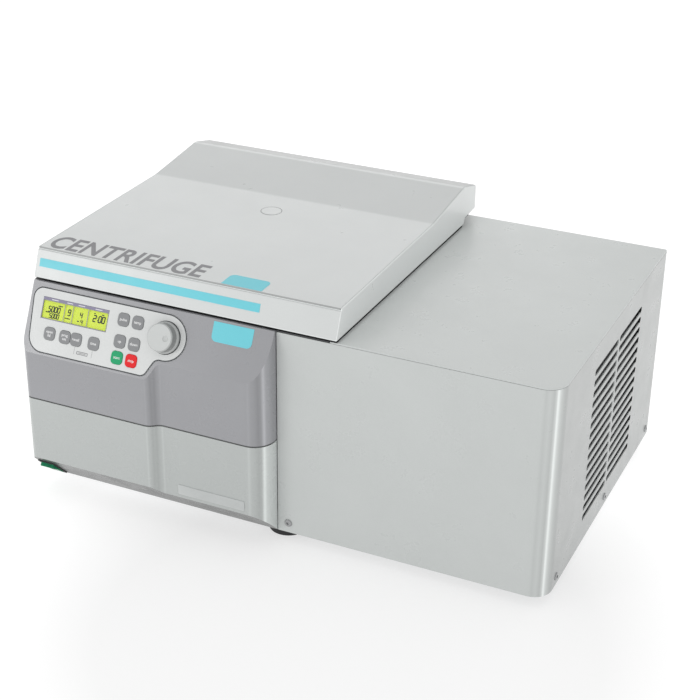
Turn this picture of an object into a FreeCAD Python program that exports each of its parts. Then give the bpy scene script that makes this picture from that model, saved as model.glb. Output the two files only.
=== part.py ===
import FreeCAD, Part
import math
import os

from FreeCAD import Placement, Rotation, Vector

# Benchtop refrigerated centrifuge, in millimetres, one STEP file per separate piece.
# Frame: origin on the floor under the middle of the object, +X to the right, +Y to the back, +Z up.
# The centrifuge section with its lid is on the left, the sheet-metal refrigeration section on the right.

# Overall size
WIDTH = 715.0
Y_BACK = 254.0
Y_FRONT = -254.0
X_LEFT = -WIDTH / 2
X_RIGHT = WIDTH / 2
FOOT_HEIGHT = 16.0

# Case
X_SEAM = -5.5
Y_CASE = -211.0
Z_CASE = FOOT_HEIGHT
Z_TOP = 302.3
SHEET = 1.5
SHEET_BEND = 1.1
CASE_CORNER = 25.0
X_DECK_END = 66.0
SEAM_GAP = 0.6

# Front panels
Z_SPLIT = 149.4
PANEL_WALL = 3.0
PANEL_STEP_X = -167.5
PANEL_STEP = 10.0
PANEL_STEP_RADIUS = 17.0
PANEL_LEFT = X_LEFT + 1.0
PANEL_RIGHT = X_SEAM - 0.8
PANEL_CORNER = 28.0
Z_CREASE = 217.0
INCLINE = 25.0
BEVEL = 43.0

# Lid: the side profile's corners are (y, z)
LID_RIGHT = 76.0
Z_LID = 307.0
LID_LIP = 304.8
LID_WALL = 3.0
LID_EDGE = 1.4
LID_FRONT_FOOT = (-212.4, Z_LID)
LID_FRONT_HEAD = (-199.9, 339.2)
LID_TOP_FRONT = (-197.9, 343.0)
LID_CREASE = (92.0, 347.0)
LID_RIDGE = (208.0, 361.0)
LID_BACK = (253.0, 350.0)
LID_REAR_UNDER = 314.0
LINER_GAP = 0.8
COVER_INSET = 1.6
COVER_THICK = 2.5
PORT_RADIUS = 14.1
PORT_STEM = 9.0
PORT_GAP = 0.3
HINGE_Y = 244.0
HINGE_Z = 299.0
HINGE_SPREAD = 140.0
PIN_RADIUS = 4.0
RUNNING_FIT = 0.05
LATCH_Y = -179.0
LATCH_Z = 262.0
LATCH_PIN_RADIUS = 3.0
LATCH_RELEASE = 25.0

# Rotor axis and chamber
ROTOR_X = -141.5
ROTOR_Y = 39.0
BOWL_RADIUS = 128.0
BOWL_FLOOR = 168.0
BOWL_WALL = 1.2
COIL_TUBE = 4.0
COIL_TURNS = 10
COIL_PITCH = 10.5
FOAM_RADII = (138.0, 147.0)
GUARD_RADII = (148.0, 154.0)
ROTOR_MOUTH_Z = 263.2
SHAFT_TOP = 292.0
BORES = 6
BORE_RADIUS = 14.8
BORE_ANGLE = 25.0
BORE_CIRCLE = 58.0
BORE_LENGTH = 76.0
SHAFT_RADIUS = 8.0

# Control field, in its own plane: x across, v up the incline, n outwards
KEY = 16.7
KEY_GAP = 0.3
KEY_CORNER = 5.5
KEY_PROUD = 1.0
MEMBRANE_PROUD = 0.5
MEMBRANE_SINK = 0.8
KNOB_X = -151.5
KNOB_V = 57.4
KNOB_RADIUS = 20.5
KNOB_HEIGHT = 16.0
KNOB_STEM = 3.0
DISPLAY = (-336.5, -237.5, 47.5, 75.5)
KEYS = {
    "key_open": (-318.7, 29.6),
    "key_program": (-295.4, 29.6),
    "key_recall": (-278.3, 29.6),
    "key_brake": (-251.8, 29.6),
    "key_pulse": (-214.8, 68.1),
    "key_timer": (-193.8, 68.1),
    "key_cool": (-214.8, 40.1),
    "key_select": (-193.8, 40.1),
    "key_start": (-214.8, 19.1),
    "key_stop": (-193.8, 19.1),
}

# Mains inlet in the rear panel, and rubber feet
INLET_X = -250.0
INLET_Z = 60.0
FOOT_RADIUS = 29.0
FOOT_PLACES = [(-9.0, -173.0), (-311.5, -140.0), (311.5, -130.0),
               (-311.5, 210.0), (-11.5, 210.0), (311.5, 210.0)]

# Case screws
HEAD_RADIUS = 5.2
HEAD_HEIGHT = 1.8
HEAD_ROUND = 1.4
SOCKET_RADIUS = 2.2
SOCKET_DEPTH = 1.4

# Cooling
PAN_TOP = Z_CASE + 4.0
COMPRESSOR = Vector(120.0, -110.0, PAN_TOP)
SHROUD_X = 296.0
FAN_Y = 32.5
FAN_Z = 158.0
FAN_RADIUS = 96.0
VENT_ROWS = 15
VENT_PITCH = 14.8
VENT_HEIGHT = 8.6
VENT_FIRST_Z = 54.0
VENT_COLUMNS = ((-72.5, 29.0), (34.5, 137.5))

# Mains switch in the bevel under the lower panel
SWITCH_X = -341.0
SWITCH_WIDTH = 25.0

AXIS_X = Vector(1, 0, 0)
AXIS_Y = Vector(0, 1, 0)
AXIS_Z = Vector(0, 0, 1)
NODES = {}


def add(name, shape):
    """Keep one finished piece under its node name."""
    NODES[name] = shape


def box(x0, x1, y0, y1, z0, z1):
    return Part.makeBox(x1 - x0, y1 - y0, z1 - z0, Vector(x0, y0, z0))


def rod(base, axis, radius, length):
    return Part.makeCylinder(radius, length, base, axis)


def tube(base, axis, outer, inner, length):
    return rod(base, axis, outer, length).cut(rod(base, axis, inner, length))


def rounded_wire(corners, to_space):
    """Closed wire through 2-D corners (u, v, radius), each rounded to its own radius."""
    stops = []
    count = len(corners)
    for index, (u, v, radius) in enumerate(corners):
        here = Vector(u, v, 0)
        last = corners[index - 1]
        following = corners[(index + 1) % count]
        back = (Vector(last[0], last[1], 0) - here).normalize()
        ahead = (Vector(following[0], following[1], 0) - here).normalize()
        half = back.getAngle(ahead) / 2
        reach = radius / math.tan(half)
        middle = here + (back + ahead).normalize() * (radius / math.sin(half) - radius)
        stops.append((here + back * reach, middle, here + ahead * reach, radius))
    edges = []
    for index, (start, middle, end, radius) in enumerate(stops):
        if radius > 0:
            edges.append(Part.Arc(to_space(start), to_space(middle), to_space(end)).toShape())
        next_start = stops[(index + 1) % count][0]
        if (next_start - end).Length > 1e-6:
            edges.append(Part.LineSegment(to_space(end), to_space(next_start)).toShape())
    return Part.Wire(edges)


def plan_solid(corners, z0, z1):
    """Solid standing on a rounded outline drawn in plan (x, y)."""
    wire = rounded_wire(corners, lambda p: Vector(p.x, p.y, z0))
    return Part.Face(wire).extrude(Vector(0, 0, z1 - z0))


def side_solid(corners, x0, x1):
    """Solid with a rounded outline drawn in side view (y, z)."""
    wire = rounded_wire(corners, lambda p: Vector(x0, p.x, p.y))
    return Part.Face(wire).extrude(Vector(x1 - x0, 0, 0))


def rectangle(x0, x1, y0, y1, radius):
    return [(x0, y0, radius), (x1, y0, radius), (x1, y1, radius), (x0, y1, radius)]


def square_corners(points):
    return [(u, v, 0) for u, v in points]


def revolved(profile, x=ROTOR_X, y=ROTOR_Y):
    """Solid of revolution about a vertical axis from (radius, z) points."""
    points = [Vector(x + r, y, z) for r, z in profile]
    face = Part.Face(Part.makePolygon(points + points[:1]))
    return face.revolve(Vector(x, y, 0), AXIS_Z, 360)


def on_incline(shape):
    """Place a shape drawn in the control field's plane onto the inclined panel."""
    placed = shape.copy()
    placed.Placement = Placement(Vector(0, Y_FRONT, Z_CREASE), Rotation(AXIS_X, 90 - INCLINE))
    return placed


def screws(places, axis, shank, radius=HEAD_RADIUS, height=HEAD_HEIGHT):
    """Pan-head screws at head-seat points, the heads standing out along the axis."""
    solids = []
    for place in places:
        head = rod(place, axis, radius, height)
        rim = [edge for edge in head.Edges if edge.Closed and
               (edge.CenterOfMass - place).dot(axis) > height / 2]
        head = head.makeFillet(HEAD_ROUND, rim)
        socket = rod(place + axis * (height - SOCKET_DEPTH), axis, SOCKET_RADIUS, SOCKET_DEPTH + 1)
        body = rod(place - axis * shank, axis, 1.4, shank)
        solids.append(head.cut(socket).fuse(body))
    return solids


def panel_corners(inset):
    """Plan outline of the front panels, set in from the outer face by a wall thickness."""
    slide = inset * math.tan(math.radians(22.5))
    left = PANEL_LEFT + inset
    right = PANEL_RIGHT - inset
    y_left = Y_FRONT + inset
    y_right = Y_FRONT + PANEL_STEP + inset
    return [
        (left, Y_CASE, 0),
        (left, y_left, 10 - inset),
        (PANEL_STEP_X - slide, y_left, PANEL_STEP_RADIUS - inset),
        (PANEL_STEP_X + PANEL_STEP - slide, y_right, PANEL_STEP_RADIUS + inset),
        (right, y_right, PANEL_CORNER - inset),
        (right, Y_CASE, 0),
    ]


def incline_y(z):
    return Y_FRONT + (z - Z_CREASE) * math.tan(math.radians(INCLINE))


def behind_incline(inset):
    """Everything behind the inclined plane, set in by a wall thickness."""
    shift = inset / math.cos(math.radians(INCLINE))
    low = 60.0
    high = Z_TOP + 10
    points = [(incline_y(low) + shift, low), (incline_y(high) + shift, high), (0, high), (0, low)]
    return side_solid(square_corners(points), X_LEFT - 1, 0)


def above_bevel(inset):
    """Everything above the 45 degree bevel under the lower panel."""
    shift = inset * math.sqrt(2)
    reach = BEVEL + 20
    z_out = Z_CASE + reach + shift
    points = [(Y_CASE, Z_CASE + shift), (Y_CASE - reach, z_out), (Y_CASE - reach, 200), (Y_CASE, 200)]
    return side_solid(square_corners(points), X_LEFT - 1, 0)


def panel_shell(z0, z1, keep, roof=0.0):
    """Moulded panel shell, open at the back and bottom, cut by its sloping face; the roof may be closed."""
    outer = plan_solid(panel_corners(0), z0, z1).common(keep(0))
    inner_top = z1 - roof if roof else z1 + 1
    inner = plan_solid(panel_corners(PANEL_WALL), z0 - 1, inner_top).common(keep(PANEL_WALL))
    return outer.cut(inner)


def membrane_wire(n, grow=0.0):
    """Outline of the control membrane in the incline's plane, grown all round."""
    arc_centre = Vector(KNOB_X, KNOB_V, n)
    arc_radius = 30.0 + grow
    left = -352.5 - grow
    top = KNOB_V + arc_radius
    bottom = 3.0 - grow
    top_radius = 14.0 + grow
    bottom_radius = 22.0 + grow
    diagonal = math.sqrt(0.5)
    points = {
        "left_high": Vector(left, top - top_radius, n),
        "top_left": Vector(left + top_radius, top, n),
        "arc_top": Vector(KNOB_X, top, n),
        "arc_side": arc_centre + Vector(arc_radius, 0, 0),
        "arc_bottom": arc_centre - Vector(0, arc_radius, 0),
        "neck": Vector(-163.0 + grow, 21.5 - grow / 2, n),
        "heel": Vector(-169.0 + grow, 10.0 - grow / 2, n),
        "bottom_right": Vector(-178.0, bottom, n),
        "bottom_left": Vector(left + 3.0 + bottom_radius, bottom, n),
        "left_low": Vector(left + 3.0, bottom + bottom_radius, n),
    }
    bends = {
        "top_left": points["top_left"] + Vector(-top_radius * diagonal, top_radius * (diagonal - 1), 0),
        "neck": Vector(-158.6 + grow / 2, 26.2 - grow, n),
        "heel": Vector(-172.0 + grow, 5.8 - grow, n),
        "bottom_left": points["bottom_left"]
        + Vector(-bottom_radius * diagonal, bottom_radius * (1 - diagonal), 0),
    }
    pieces = [
        Part.Arc(points["left_high"], bends["top_left"], points["top_left"]),
        Part.LineSegment(points["top_left"], points["arc_top"]),
        Part.Arc(points["arc_top"], points["arc_side"], points["arc_bottom"]),
        Part.Arc(points["arc_bottom"], bends["neck"], points["neck"]),
        Part.LineSegment(points["neck"], points["heel"]),
        Part.Arc(points["heel"], bends["heel"], points["bottom_right"]),
        Part.LineSegment(points["bottom_right"], points["bottom_left"]),
        Part.Arc(points["bottom_left"], bends["bottom_left"], points["left_low"]),
        Part.LineSegment(points["left_low"], points["left_high"]),
    ]
    return Part.Wire([piece.toShape() for piece in pieces])


def membrane_slab(n0, n1, grow=0.0):
    return Part.Face(membrane_wire(n0, grow)).extrude(Vector(0, 0, n1 - n0))


def key_block(centre, size, corner, n0, n1):
    x, v = centre
    half = size / 2
    return plan_solid(rectangle(x - half, x + half, v - half, v + half, corner), n0, n1)


def display_block(grow, n0, n1):
    x0, x1, v0, v1 = DISPLAY
    return box(x0 - grow, x1 + grow, v0 - grow, v1 + grow, n0, n1)


def control_apertures(n0, n1):
    """Holes for the keys, the display and the knob's stem, in the incline's plane."""
    holes = [key_block(centre, KEY + 2 * KEY_GAP, KEY_CORNER, n0, n1) for centre in KEYS.values()]
    holes.append(display_block(KEY_GAP, n0, n1))
    holes.append(rod(Vector(KNOB_X, KNOB_V, n0), AXIS_Z, 4.0, n1 - n0))
    return holes


def build_front_panels():
    upper = panel_shell(Z_SPLIT + SEAM_GAP, Z_TOP - 0.3, behind_incline, 2.5)
    seat = membrane_slab(-MEMBRANE_SINK, 5, 0.4)
    for hole in control_apertures(-6, 5):
        seat = seat.fuse(hole)
    upper = upper.cut(on_incline(seat))
    add("upper_front_panel", upper)

    lower = panel_shell(Z_CASE, Z_SPLIT - SEAM_GAP, above_bevel)
    tongue_out = plan_solid(panel_corners(PANEL_WALL), Z_SPLIT - 8, Z_SPLIT + 6)
    tongue_in = plan_solid(panel_corners(PANEL_WALL + 1.5), Z_SPLIT - 9, Z_SPLIT + 7)
    tongue = tongue_out.cut(tongue_in)
    recess = plan_solid(panel_corners(PANEL_WALL - 0.4), Z_SPLIT - SEAM_GAP, Z_SPLIT + 7)
    relief = recess.cut(plan_solid(panel_corners(PANEL_WALL + 0.3), Z_SPLIT - SEAM_GAP, Z_SPLIT + 7))
    tongue = tongue.cut(relief)
    lower = lower.fuse(tongue).removeSplitter()
    lower = lower.cut(bevel_place(box(0, SWITCH_WIDTH, 4, 46, -6, 10)))
    add("lower_front_panel", lower)


def bevel_place(shape):
    """Place a shape onto the bevel: x across from the switch's left edge, y up the slope, z outwards."""
    placed = shape.copy()
    base = Vector(SWITCH_X - SWITCH_WIDTH / 2, Y_CASE, Z_CASE)
    placed.Placement = Placement(base, Rotation(AXIS_X, 135))
    return placed


def build_controls():
    membrane = membrane_slab(-MEMBRANE_SINK, MEMBRANE_PROUD)
    for hole in control_apertures(-2, 2):
        membrane = membrane.cut(hole)
    add("control_membrane", on_incline(membrane))
    add("display_window", on_incline(display_block(0.05, -0.6, MEMBRANE_PROUD + 0.1)))
    add("lcd_module", on_incline(display_block(-0.5, -8.0, -0.8)))
    for name, centre in KEYS.items():
        top = MEMBRANE_SINK + KEY_PROUD - 0.4
        key = key_block(centre, KEY, KEY_CORNER - KEY_GAP, -2.0, top)
        upper_rim = [edge for edge in key.Edges if edge.CenterOfMass.z > top - 0.1
                     and abs(edge.BoundBox.ZLength) < 0.01]
        add(name, on_incline(key.makeFillet(0.5, upper_rim)))
    mat = box(-335.0, -180.0, 6.0, 40.0, -4.6, -3.1).fuse(box(-226.0, -182.0, 30.0, 80.0, -4.6, -3.1))
    mat = mat.removeSplitter()
    board = box(-345.0, -165.0, 3.0, 84.0, -13.6, -12.0)
    chips = [box(x, x + 12, 12, 24, -16.0, -13.6) for x in (-320.0, -280.0, -240.0, -200.0)]
    for chip in chips:
        board = board.fuse(chip)
    board = board.removeSplitter()
    add("control_board", on_incline(Part.makeCompound([board, mat, knob_encoder()])))
    build_knob()


def build_knob():
    """Turned knob on a stem that runs in the encoder behind the panel."""
    base_n = MEMBRANE_PROUD + 0.5
    top_n = base_n + KNOB_HEIGHT
    profile = [(0, base_n), (KNOB_RADIUS, base_n), (KNOB_RADIUS, base_n + 2.5),
               (18.6, base_n + 5.0), (17.9, top_n - 1.5), (16.6, top_n), (0, top_n)]
    points = [Vector(KNOB_X + r, KNOB_V, n) for r, n in profile]
    face = Part.Face(Part.makePolygon(points + points[:1]))
    knob = face.revolve(Vector(KNOB_X, KNOB_V, 0), AXIS_Z, 360)
    dimple_radius = 6.0
    dimple = Part.makeSphere(dimple_radius, Vector(KNOB_X + 8.5, KNOB_V, top_n + dimple_radius - 1.6))
    stem = rod(Vector(KNOB_X, KNOB_V, -9.0), AXIS_Z, KNOB_STEM, base_n + 9.0)
    add("control_knob", on_incline(knob.cut(dimple).fuse(stem).removeSplitter()))


def knob_encoder():
    """Encoder on the control board, with the bore for the knob's stem."""
    encoder = box(KNOB_X - 8, KNOB_X + 8, KNOB_V - 8, KNOB_V + 8, -12.0, -4.0)
    bore = rod(Vector(KNOB_X, KNOB_V, -10.0), AXIS_Z, KNOB_STEM + RUNNING_FIT, 7.0)
    return encoder.cut(bore)


def build_mains_switch():
    """Illuminated rocker in a black frame, let into the bevel at its left end."""
    frame = box(0.2, SWITCH_WIDTH - 0.2, 4.2, 45.8, -6.5, 1.6)
    frame = frame.cut(box(2.3, SWITCH_WIDTH - 2.3, 8.0, 42.0, -5.0, 3.0))
    body = box(3.0, SWITCH_WIDTH - 3.0, 9.0, 41.0, -16.0, -6.5)
    add("switch_frame", bevel_place(frame.fuse(body).removeSplitter()))
    rocker = [(9.5, 0.0, 0), (25.0, -1.6, 0), (40.5, 0.0, 0), (39.3, 6.4, 1.5), (25.0, 3.4, 0),
              (10.7, 2.4, 1.0)]
    wire = rounded_wire(rocker, lambda p: Vector(2.8, p.x, p.y))
    add("power_rocker", bevel_place(Part.Face(wire).extrude(Vector(SWITCH_WIDTH - 5.6, 0, 0))))


def build_case():
    """Vented wrap and top sheet of the refrigeration section; left wall of the centrifuge section."""
    top_under = Z_TOP - SHEET - SEAM_GAP
    outer = [(X_SEAM, Y_CASE, 0), (X_RIGHT, Y_CASE, CASE_CORNER), (X_RIGHT, Y_BACK, 2.0),
             (X_SEAM, Y_BACK, 0)]
    inner = [(X_SEAM - 1, Y_CASE + SHEET, 0), (X_RIGHT - SHEET, Y_CASE + SHEET, CASE_CORNER - SHEET),
             (X_RIGHT - SHEET, Y_BACK + 1, 0), (X_SEAM - 1, Y_BACK + 1, 0)]
    wrap = plan_solid(outer, Z_CASE, top_under).cut(plan_solid(inner, Z_CASE - 1, top_under + 1))
    slots = []
    for y0, y1 in VENT_COLUMNS:
        for row in range(VENT_ROWS):
            z = VENT_FIRST_Z + row * VENT_PITCH
            half = VENT_HEIGHT / 2
            corners = rectangle(y0, y1, z - half, z + half, half - 0.05)
            slots.append(side_solid(corners, X_RIGHT - 5, X_RIGHT + 5))
    add("cooling_case", wrap.cut(Part.makeCompound(slots)))

    sheet = [(X_DECK_END + SEAM_GAP, Y_CASE, 0), (X_RIGHT, Y_CASE, CASE_CORNER), (X_RIGHT, Y_BACK, 2.0),
             (X_DECK_END + SEAM_GAP, Y_BACK, 0)]
    top = plan_solid(sheet, Z_TOP - SHEET, Z_TOP)
    rim = [edge for edge in top.Edges if edge.BoundBox.ZMin > Z_TOP - 0.01 and
           (edge.CenterOfMass.y < Y_CASE + 20 or edge.CenterOfMass.x > X_RIGHT - 10)]
    add("cooling_case_top", top.makeFillet(SHEET_BEND, rim))

    left_wall = box(X_LEFT, X_LEFT + SHEET, Y_CASE + SEAM_GAP, Y_BACK, Z_CASE, Z_TOP - SHEET - SEAM_GAP)
    add("left_side_panel", left_wall)


def bowl_hole(radius, z0, z1):
    return rod(Vector(ROTOR_X, ROTOR_Y, z0), AXIS_Z, radius, z1 - z0)


def hinge_places():
    return [ROTOR_X - HINGE_SPREAD, ROTOR_X + HINGE_SPREAD]


def build_deck():
    deck = box(X_LEFT, X_DECK_END, Y_CASE + 0.4, Y_BACK, Z_TOP - SHEET, Z_TOP)
    deck = deck.cut(bowl_hole(BOWL_RADIUS + 3, Z_TOP - 5, Z_TOP + 5))
    for x in hinge_places():
        deck = deck.cut(box(x - 23, x + 23, HINGE_Y - 12, Y_BACK + 1, Z_TOP - 5, Z_TOP + 5))
    deck = deck.cut(box(ROTOR_X - 17, ROTOR_X + 17, -184, -156, Z_TOP - 5, Z_TOP + 5))
    add("top_deck", deck)


def build_rear_panel():
    """Back sheet, let 2 mm into the case, with the air grille and the mains inlet opening."""
    y0 = Y_BACK - 3.5
    y1 = Y_BACK - 2.0
    panel = box(X_LEFT + SHEET + 0.1, X_RIGHT - SHEET - 0.1, y0, y1, Z_CASE + 0.3, Z_TOP - SHEET - SEAM_GAP)
    for x in hinge_places():
        panel = panel.cut(box(x - 7, x + 7, y0 - 1, y1 + 1, 284, Z_TOP))
    panel = panel.cut(box(INLET_X - 15.2, INLET_X + 15.2, y0 - 1, y1 + 1, INLET_Z - 12.2, INLET_Z + 12.2))
    half = VENT_HEIGHT / 2
    slots = []
    for row in range(12):
        z = 60.0 + row * VENT_PITCH
        for x0, x1 in ((130.0, 215.0), (223.0, 308.0)):
            wire = rounded_wire(rectangle(x0, x1, z - half, z + half, half - 0.05),
                                lambda p: Vector(p.x, y0 - 1, p.y))
            slots.append(Part.Face(wire).extrude(Vector(0, 5, 0)))
    add("rear_panel", panel.cut(Part.makeCompound(slots)))


def build_mains_inlet():
    """Appliance inlet: a flanged socket with three contact pins."""
    face_y = Y_BACK - 2.0
    flange = box(INLET_X - 25, INLET_X + 25, face_y, face_y + 1.8, INLET_Z - 15, INLET_Z + 15)
    body = box(INLET_X - 15, INLET_X + 15, face_y - 26, face_y, INLET_Z - 12, INLET_Z + 12)
    hollow = box(INLET_X - 12.2, INLET_X + 12.2, face_y - 18, face_y + 3, INLET_Z - 8.2, INLET_Z + 8.2)
    inlet = flange.fuse(body).removeSplitter().cut(hollow)
    pins = [(-7.0, 1.0), (0.0, 3.0), (7.0, 1.0)]
    contacts = []
    for x, z in pins:
        contacts.append(box(INLET_X + x - 1, INLET_X + x + 1, face_y - 30, face_y - 3,
                            INLET_Z + z - 2, INLET_Z + z + 2))
    inlet = inlet.cut(Part.makeCompound(contacts))
    add("mains_inlet", Part.makeCompound([inlet] + contacts))


def build_base():
    """Folded base pan with an upstand all round, on six rubber feet."""
    side = X_RIGHT - SHEET - 0.2
    y0 = Y_CASE + SHEET + 0.2
    y1 = Y_BACK - 4.0
    low = Z_CASE + 2.0
    corner = CASE_CORNER - SHEET - 0.2
    outline = [(-side, y0, 1.0), (side, y0, corner), (side, y1, 1.0), (-side, y1, 1.0)]
    inner = [(-side + 2, y0 + 2, 0), (side - 2, y0 + 2, corner - 2), (side - 2, y1 - 2, 0),
             (-side + 2, y1 - 2, 0)]
    pan = plan_solid(outline, low, low + 22).cut(plan_solid(inner, low + 2, low + 30))
    pan = pan.cut(rod(Vector(ROTOR_X + 60, ROTOR_Y + 120, low - 1), AXIS_Z, 6, 5))
    pan = pan.cut(box(SWITCH_X - 15, SWITCH_X + 15, y0 - 1, y0 + 18, low + 3, low + 30))
    add("base_pan", pan)
    feet = []
    for x, y in FOOT_PLACES:
        foot = Part.makeCone(FOOT_RADIUS - 3, FOOT_RADIUS, low, Vector(x, y, 0), AXIS_Z)
        feet.append(foot.cut(rod(Vector(x, y, -1), AXIS_Z, 8, 6)))
    add("feet", Part.makeCompound(feet))


def build_screws():
    places = [Vector(X_RIGHT, y, Z_CASE + 12.5) for y in (-172.5, 33.0, 239.0)]
    solids = screws(places, AXIS_X, shank=3.0)
    places = [Vector(9.4, Y_CASE, Z_CASE + 14.1)]
    solids += screws(places, -AXIS_Y, shank=3.0)
    places = [Vector(X_LEFT, y, Z_CASE + 12.5) for y in (-172.5, 33.0, 239.0)]
    solids += screws(places, -AXIS_X, shank=3.0)
    rear = [(x, z) for z in (26.0, 270.0) for x in (-345.0, -60.0, 60.0, 345.0)]
    solids += screws([Vector(x, Y_BACK - 2.0, z) for x, z in rear], AXIS_Y, shank=1.5)
    return solids


def drill_for_screws(solids):
    """Open the sheets around the screw shanks."""
    tools = Part.makeCompound(solids)
    for name in ("cooling_case", "left_side_panel", "rear_panel", "base_pan"):
        NODES[name] = NODES[name].cut(tools)


def build_chamber():
    """Stainless bowl with its rim seal, cooling coil, insulation and steel guard ring."""
    outer = BOWL_RADIUS + BOWL_WALL
    rim = 141.0
    rim_z = Z_TOP + 0.1
    neck = 24.0
    bowl = revolved([
        (neck, BOWL_FLOOR - BOWL_WALL), (outer - 14, BOWL_FLOOR - BOWL_WALL), (outer, BOWL_FLOOR + 14),
        (outer, rim_z), (rim, rim_z), (rim, rim_z + BOWL_WALL), (BOWL_RADIUS, rim_z + BOWL_WALL),
        (BOWL_RADIUS, BOWL_FLOOR + 14.6), (BOWL_RADIUS - 13.4, BOWL_FLOOR), (neck, BOWL_FLOOR)])
    add("rotor_bowl", bowl)
    seal_z = rim_z + BOWL_WALL
    add("bowl_seal", revolved([(130.0, seal_z), (140.0, seal_z), (139.0, seal_z + 3.0),
                               (136.0, seal_z + 3.6), (134.0, seal_z + 1.6), (130.0, seal_z + 1.2)]))
    turns = []
    for turn in range(COIL_TURNS):
        level = BOWL_FLOOR + 24 + turn * COIL_PITCH
        middle = Vector(ROTOR_X, ROTOR_Y, level)
        turns.append(Part.makeTorus(outer + COIL_TUBE + 0.1, COIL_TUBE, middle, AXIS_Z))
    add("evaporator_coil", Part.makeCompound(turns))
    centre = Vector(ROTOR_X, ROTOR_Y, 0)
    foam_z = BOWL_FLOOR - 4
    foam = tube(centre + AXIS_Z * foam_z, AXIS_Z, FOAM_RADII[1], FOAM_RADII[0], Z_TOP - 4 - foam_z)
    add("bowl_insulation", foam)
    guard_z = BOWL_FLOOR - 14
    guard = tube(centre + AXIS_Z * guard_z, AXIS_Z, GUARD_RADII[1], GUARD_RADII[0], Z_TOP - 4 - guard_z)
    add("guard_ring", guard)


def build_drive():
    """Flanged brushless motor on three rubber mounts; its shaft carries the rotor."""
    plate_z = PAN_TOP + 26.0
    mounts = []
    for step in range(3):
        angle = math.radians(90 + 120 * step)
        x = ROTOR_X + 74 * math.cos(angle)
        y = ROTOR_Y + 74 * math.sin(angle)
        waist = Part.makeCone(13, 10, 13, Vector(x, y, PAN_TOP), AXIS_Z)
        mounts.append(waist.fuse(Part.makeCone(10, 13, 13, Vector(x, y, PAN_TOP + 13), AXIS_Z)))
    for dx in (-45, 45):
        for dy in (-40, 40):
            mounts.append(rod(COMPRESSOR + Vector(dx, dy, 0), AXIS_Z, 9, 9))
    add("rubber_mounts", Part.makeCompound(mounts))
    motor_z = plate_z + 6
    motor = revolved([(0, plate_z), (92, plate_z), (92, motor_z), (60, motor_z), (60, motor_z + 84),
                      (52, motor_z + 92), (30, motor_z + 96), (22, motor_z + 106), (22, BOWL_FLOOR + 6),
                      (0, BOWL_FLOOR + 6)])
    bearing_bore = rod(Vector(ROTOR_X, ROTOR_Y, motor_z + 20), AXIS_Z, SHAFT_RADIUS + RUNNING_FIT, 200)
    add("drive_motor", motor.cut(bearing_bore))
    add("drive_shaft", revolved([(0, motor_z + 22), (SHAFT_RADIUS, motor_z + 22), (SHAFT_RADIUS, 256.0),
                                 (SHAFT_RADIUS - 3, 268.0), (SHAFT_RADIUS - 3, SHAFT_TOP), (0, SHAFT_TOP)]))


def bore_axis(step):
    """Mouth centre and outward-leaning direction of one tube bore."""
    turn = math.radians(360.0 / BORES * step)
    lean = math.radians(BORE_ANGLE)
    outward = Vector(math.cos(turn), math.sin(turn), 0)
    mouth = Vector(ROTOR_X, ROTOR_Y, ROTOR_MOUTH_Z) + outward * BORE_CIRCLE
    return mouth, outward * math.sin(lean) - AXIS_Z * math.cos(lean)


def build_rotor():
    """Fixed-angle rotor for six tubes, its lid and its clamping nut."""
    dish = math.tan(math.radians(BORE_ANGLE))
    hub_z = ROTOR_MOUTH_Z - (BORE_CIRCLE - 34) * dish
    edge_z = ROTOR_MOUTH_Z + (84 - BORE_CIRCLE) * dish
    bore = SHAFT_RADIUS + 0.1
    rotor = revolved([(bore, 182), (14, 182), (20, 178), (98, 178), (110, 190), (112, 200), (112, 214),
                      (96, 272), (91, edge_z + 3), (86, edge_z + 3), (84, edge_z), (34, hub_z),
                      (24, hub_z), (20, hub_z + 8), (bore, hub_z + 8)])
    for step in range(BORES):
        mouth, direction = bore_axis(step)
        well = rod(mouth - direction * 20, direction, BORE_RADIUS, BORE_LENGTH + 20)
        tip = Part.makeSphere(BORE_RADIUS, mouth + direction * BORE_LENGTH)
        rotor = rotor.cut(well.fuse(tip.common(rod(mouth, direction, BORE_RADIUS, BORE_LENGTH + 6))))
    add("angle_rotor", rotor)
    seat = edge_z + 3.1
    add("rotor_lid", revolved([(SHAFT_RADIUS, seat), (92, seat), (92, seat + 3), (60, seat + 5.5),
                               (26, seat + 7.5), (SHAFT_RADIUS, seat + 7.5)]))
    nut_z = seat + 7.6
    nut = revolved([(5.1, nut_z), (20, nut_z), (20, nut_z + 3), (17, nut_z + 5), (17, nut_z + 11),
                    (15, nut_z + 12.5), (0, nut_z + 12.5), (0, SHAFT_TOP + 0.2), (5.1, SHAFT_TOP + 0.2)])
    for step in range(8):
        turn = math.radians(45 * step)
        groove = Vector(ROTOR_X + 19.2 * math.cos(turn), ROTOR_Y + 19.2 * math.sin(turn), nut_z + 4)
        nut = nut.cut(rod(groove, AXIS_Z, 3.6, 10))
    add("rotor_nut", nut)


def hinge_bracket(x):
    """U-shaped bracket under a deck cut-out, with two rounded lugs that hold the pin."""
    low = HINGE_Z - 26
    y0 = HINGE_Y - 8
    y1 = HINGE_Y + 5.5
    bracket = box(x - 21, x + 21, y0, y1, low, low + 4)
    for x0 in (x - 21, x + 17):
        bracket = bracket.fuse(box(x0, x0 + 4, y0, y1, low, HINGE_Z))
        bracket = bracket.fuse(rod(Vector(x0, HINGE_Y, HINGE_Z), AXIS_X, 5.5, 4))
    return bracket.removeSplitter().cut(rod(Vector(x - 25, HINGE_Y, HINGE_Z), AXIS_X, PIN_RADIUS, 50))


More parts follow.
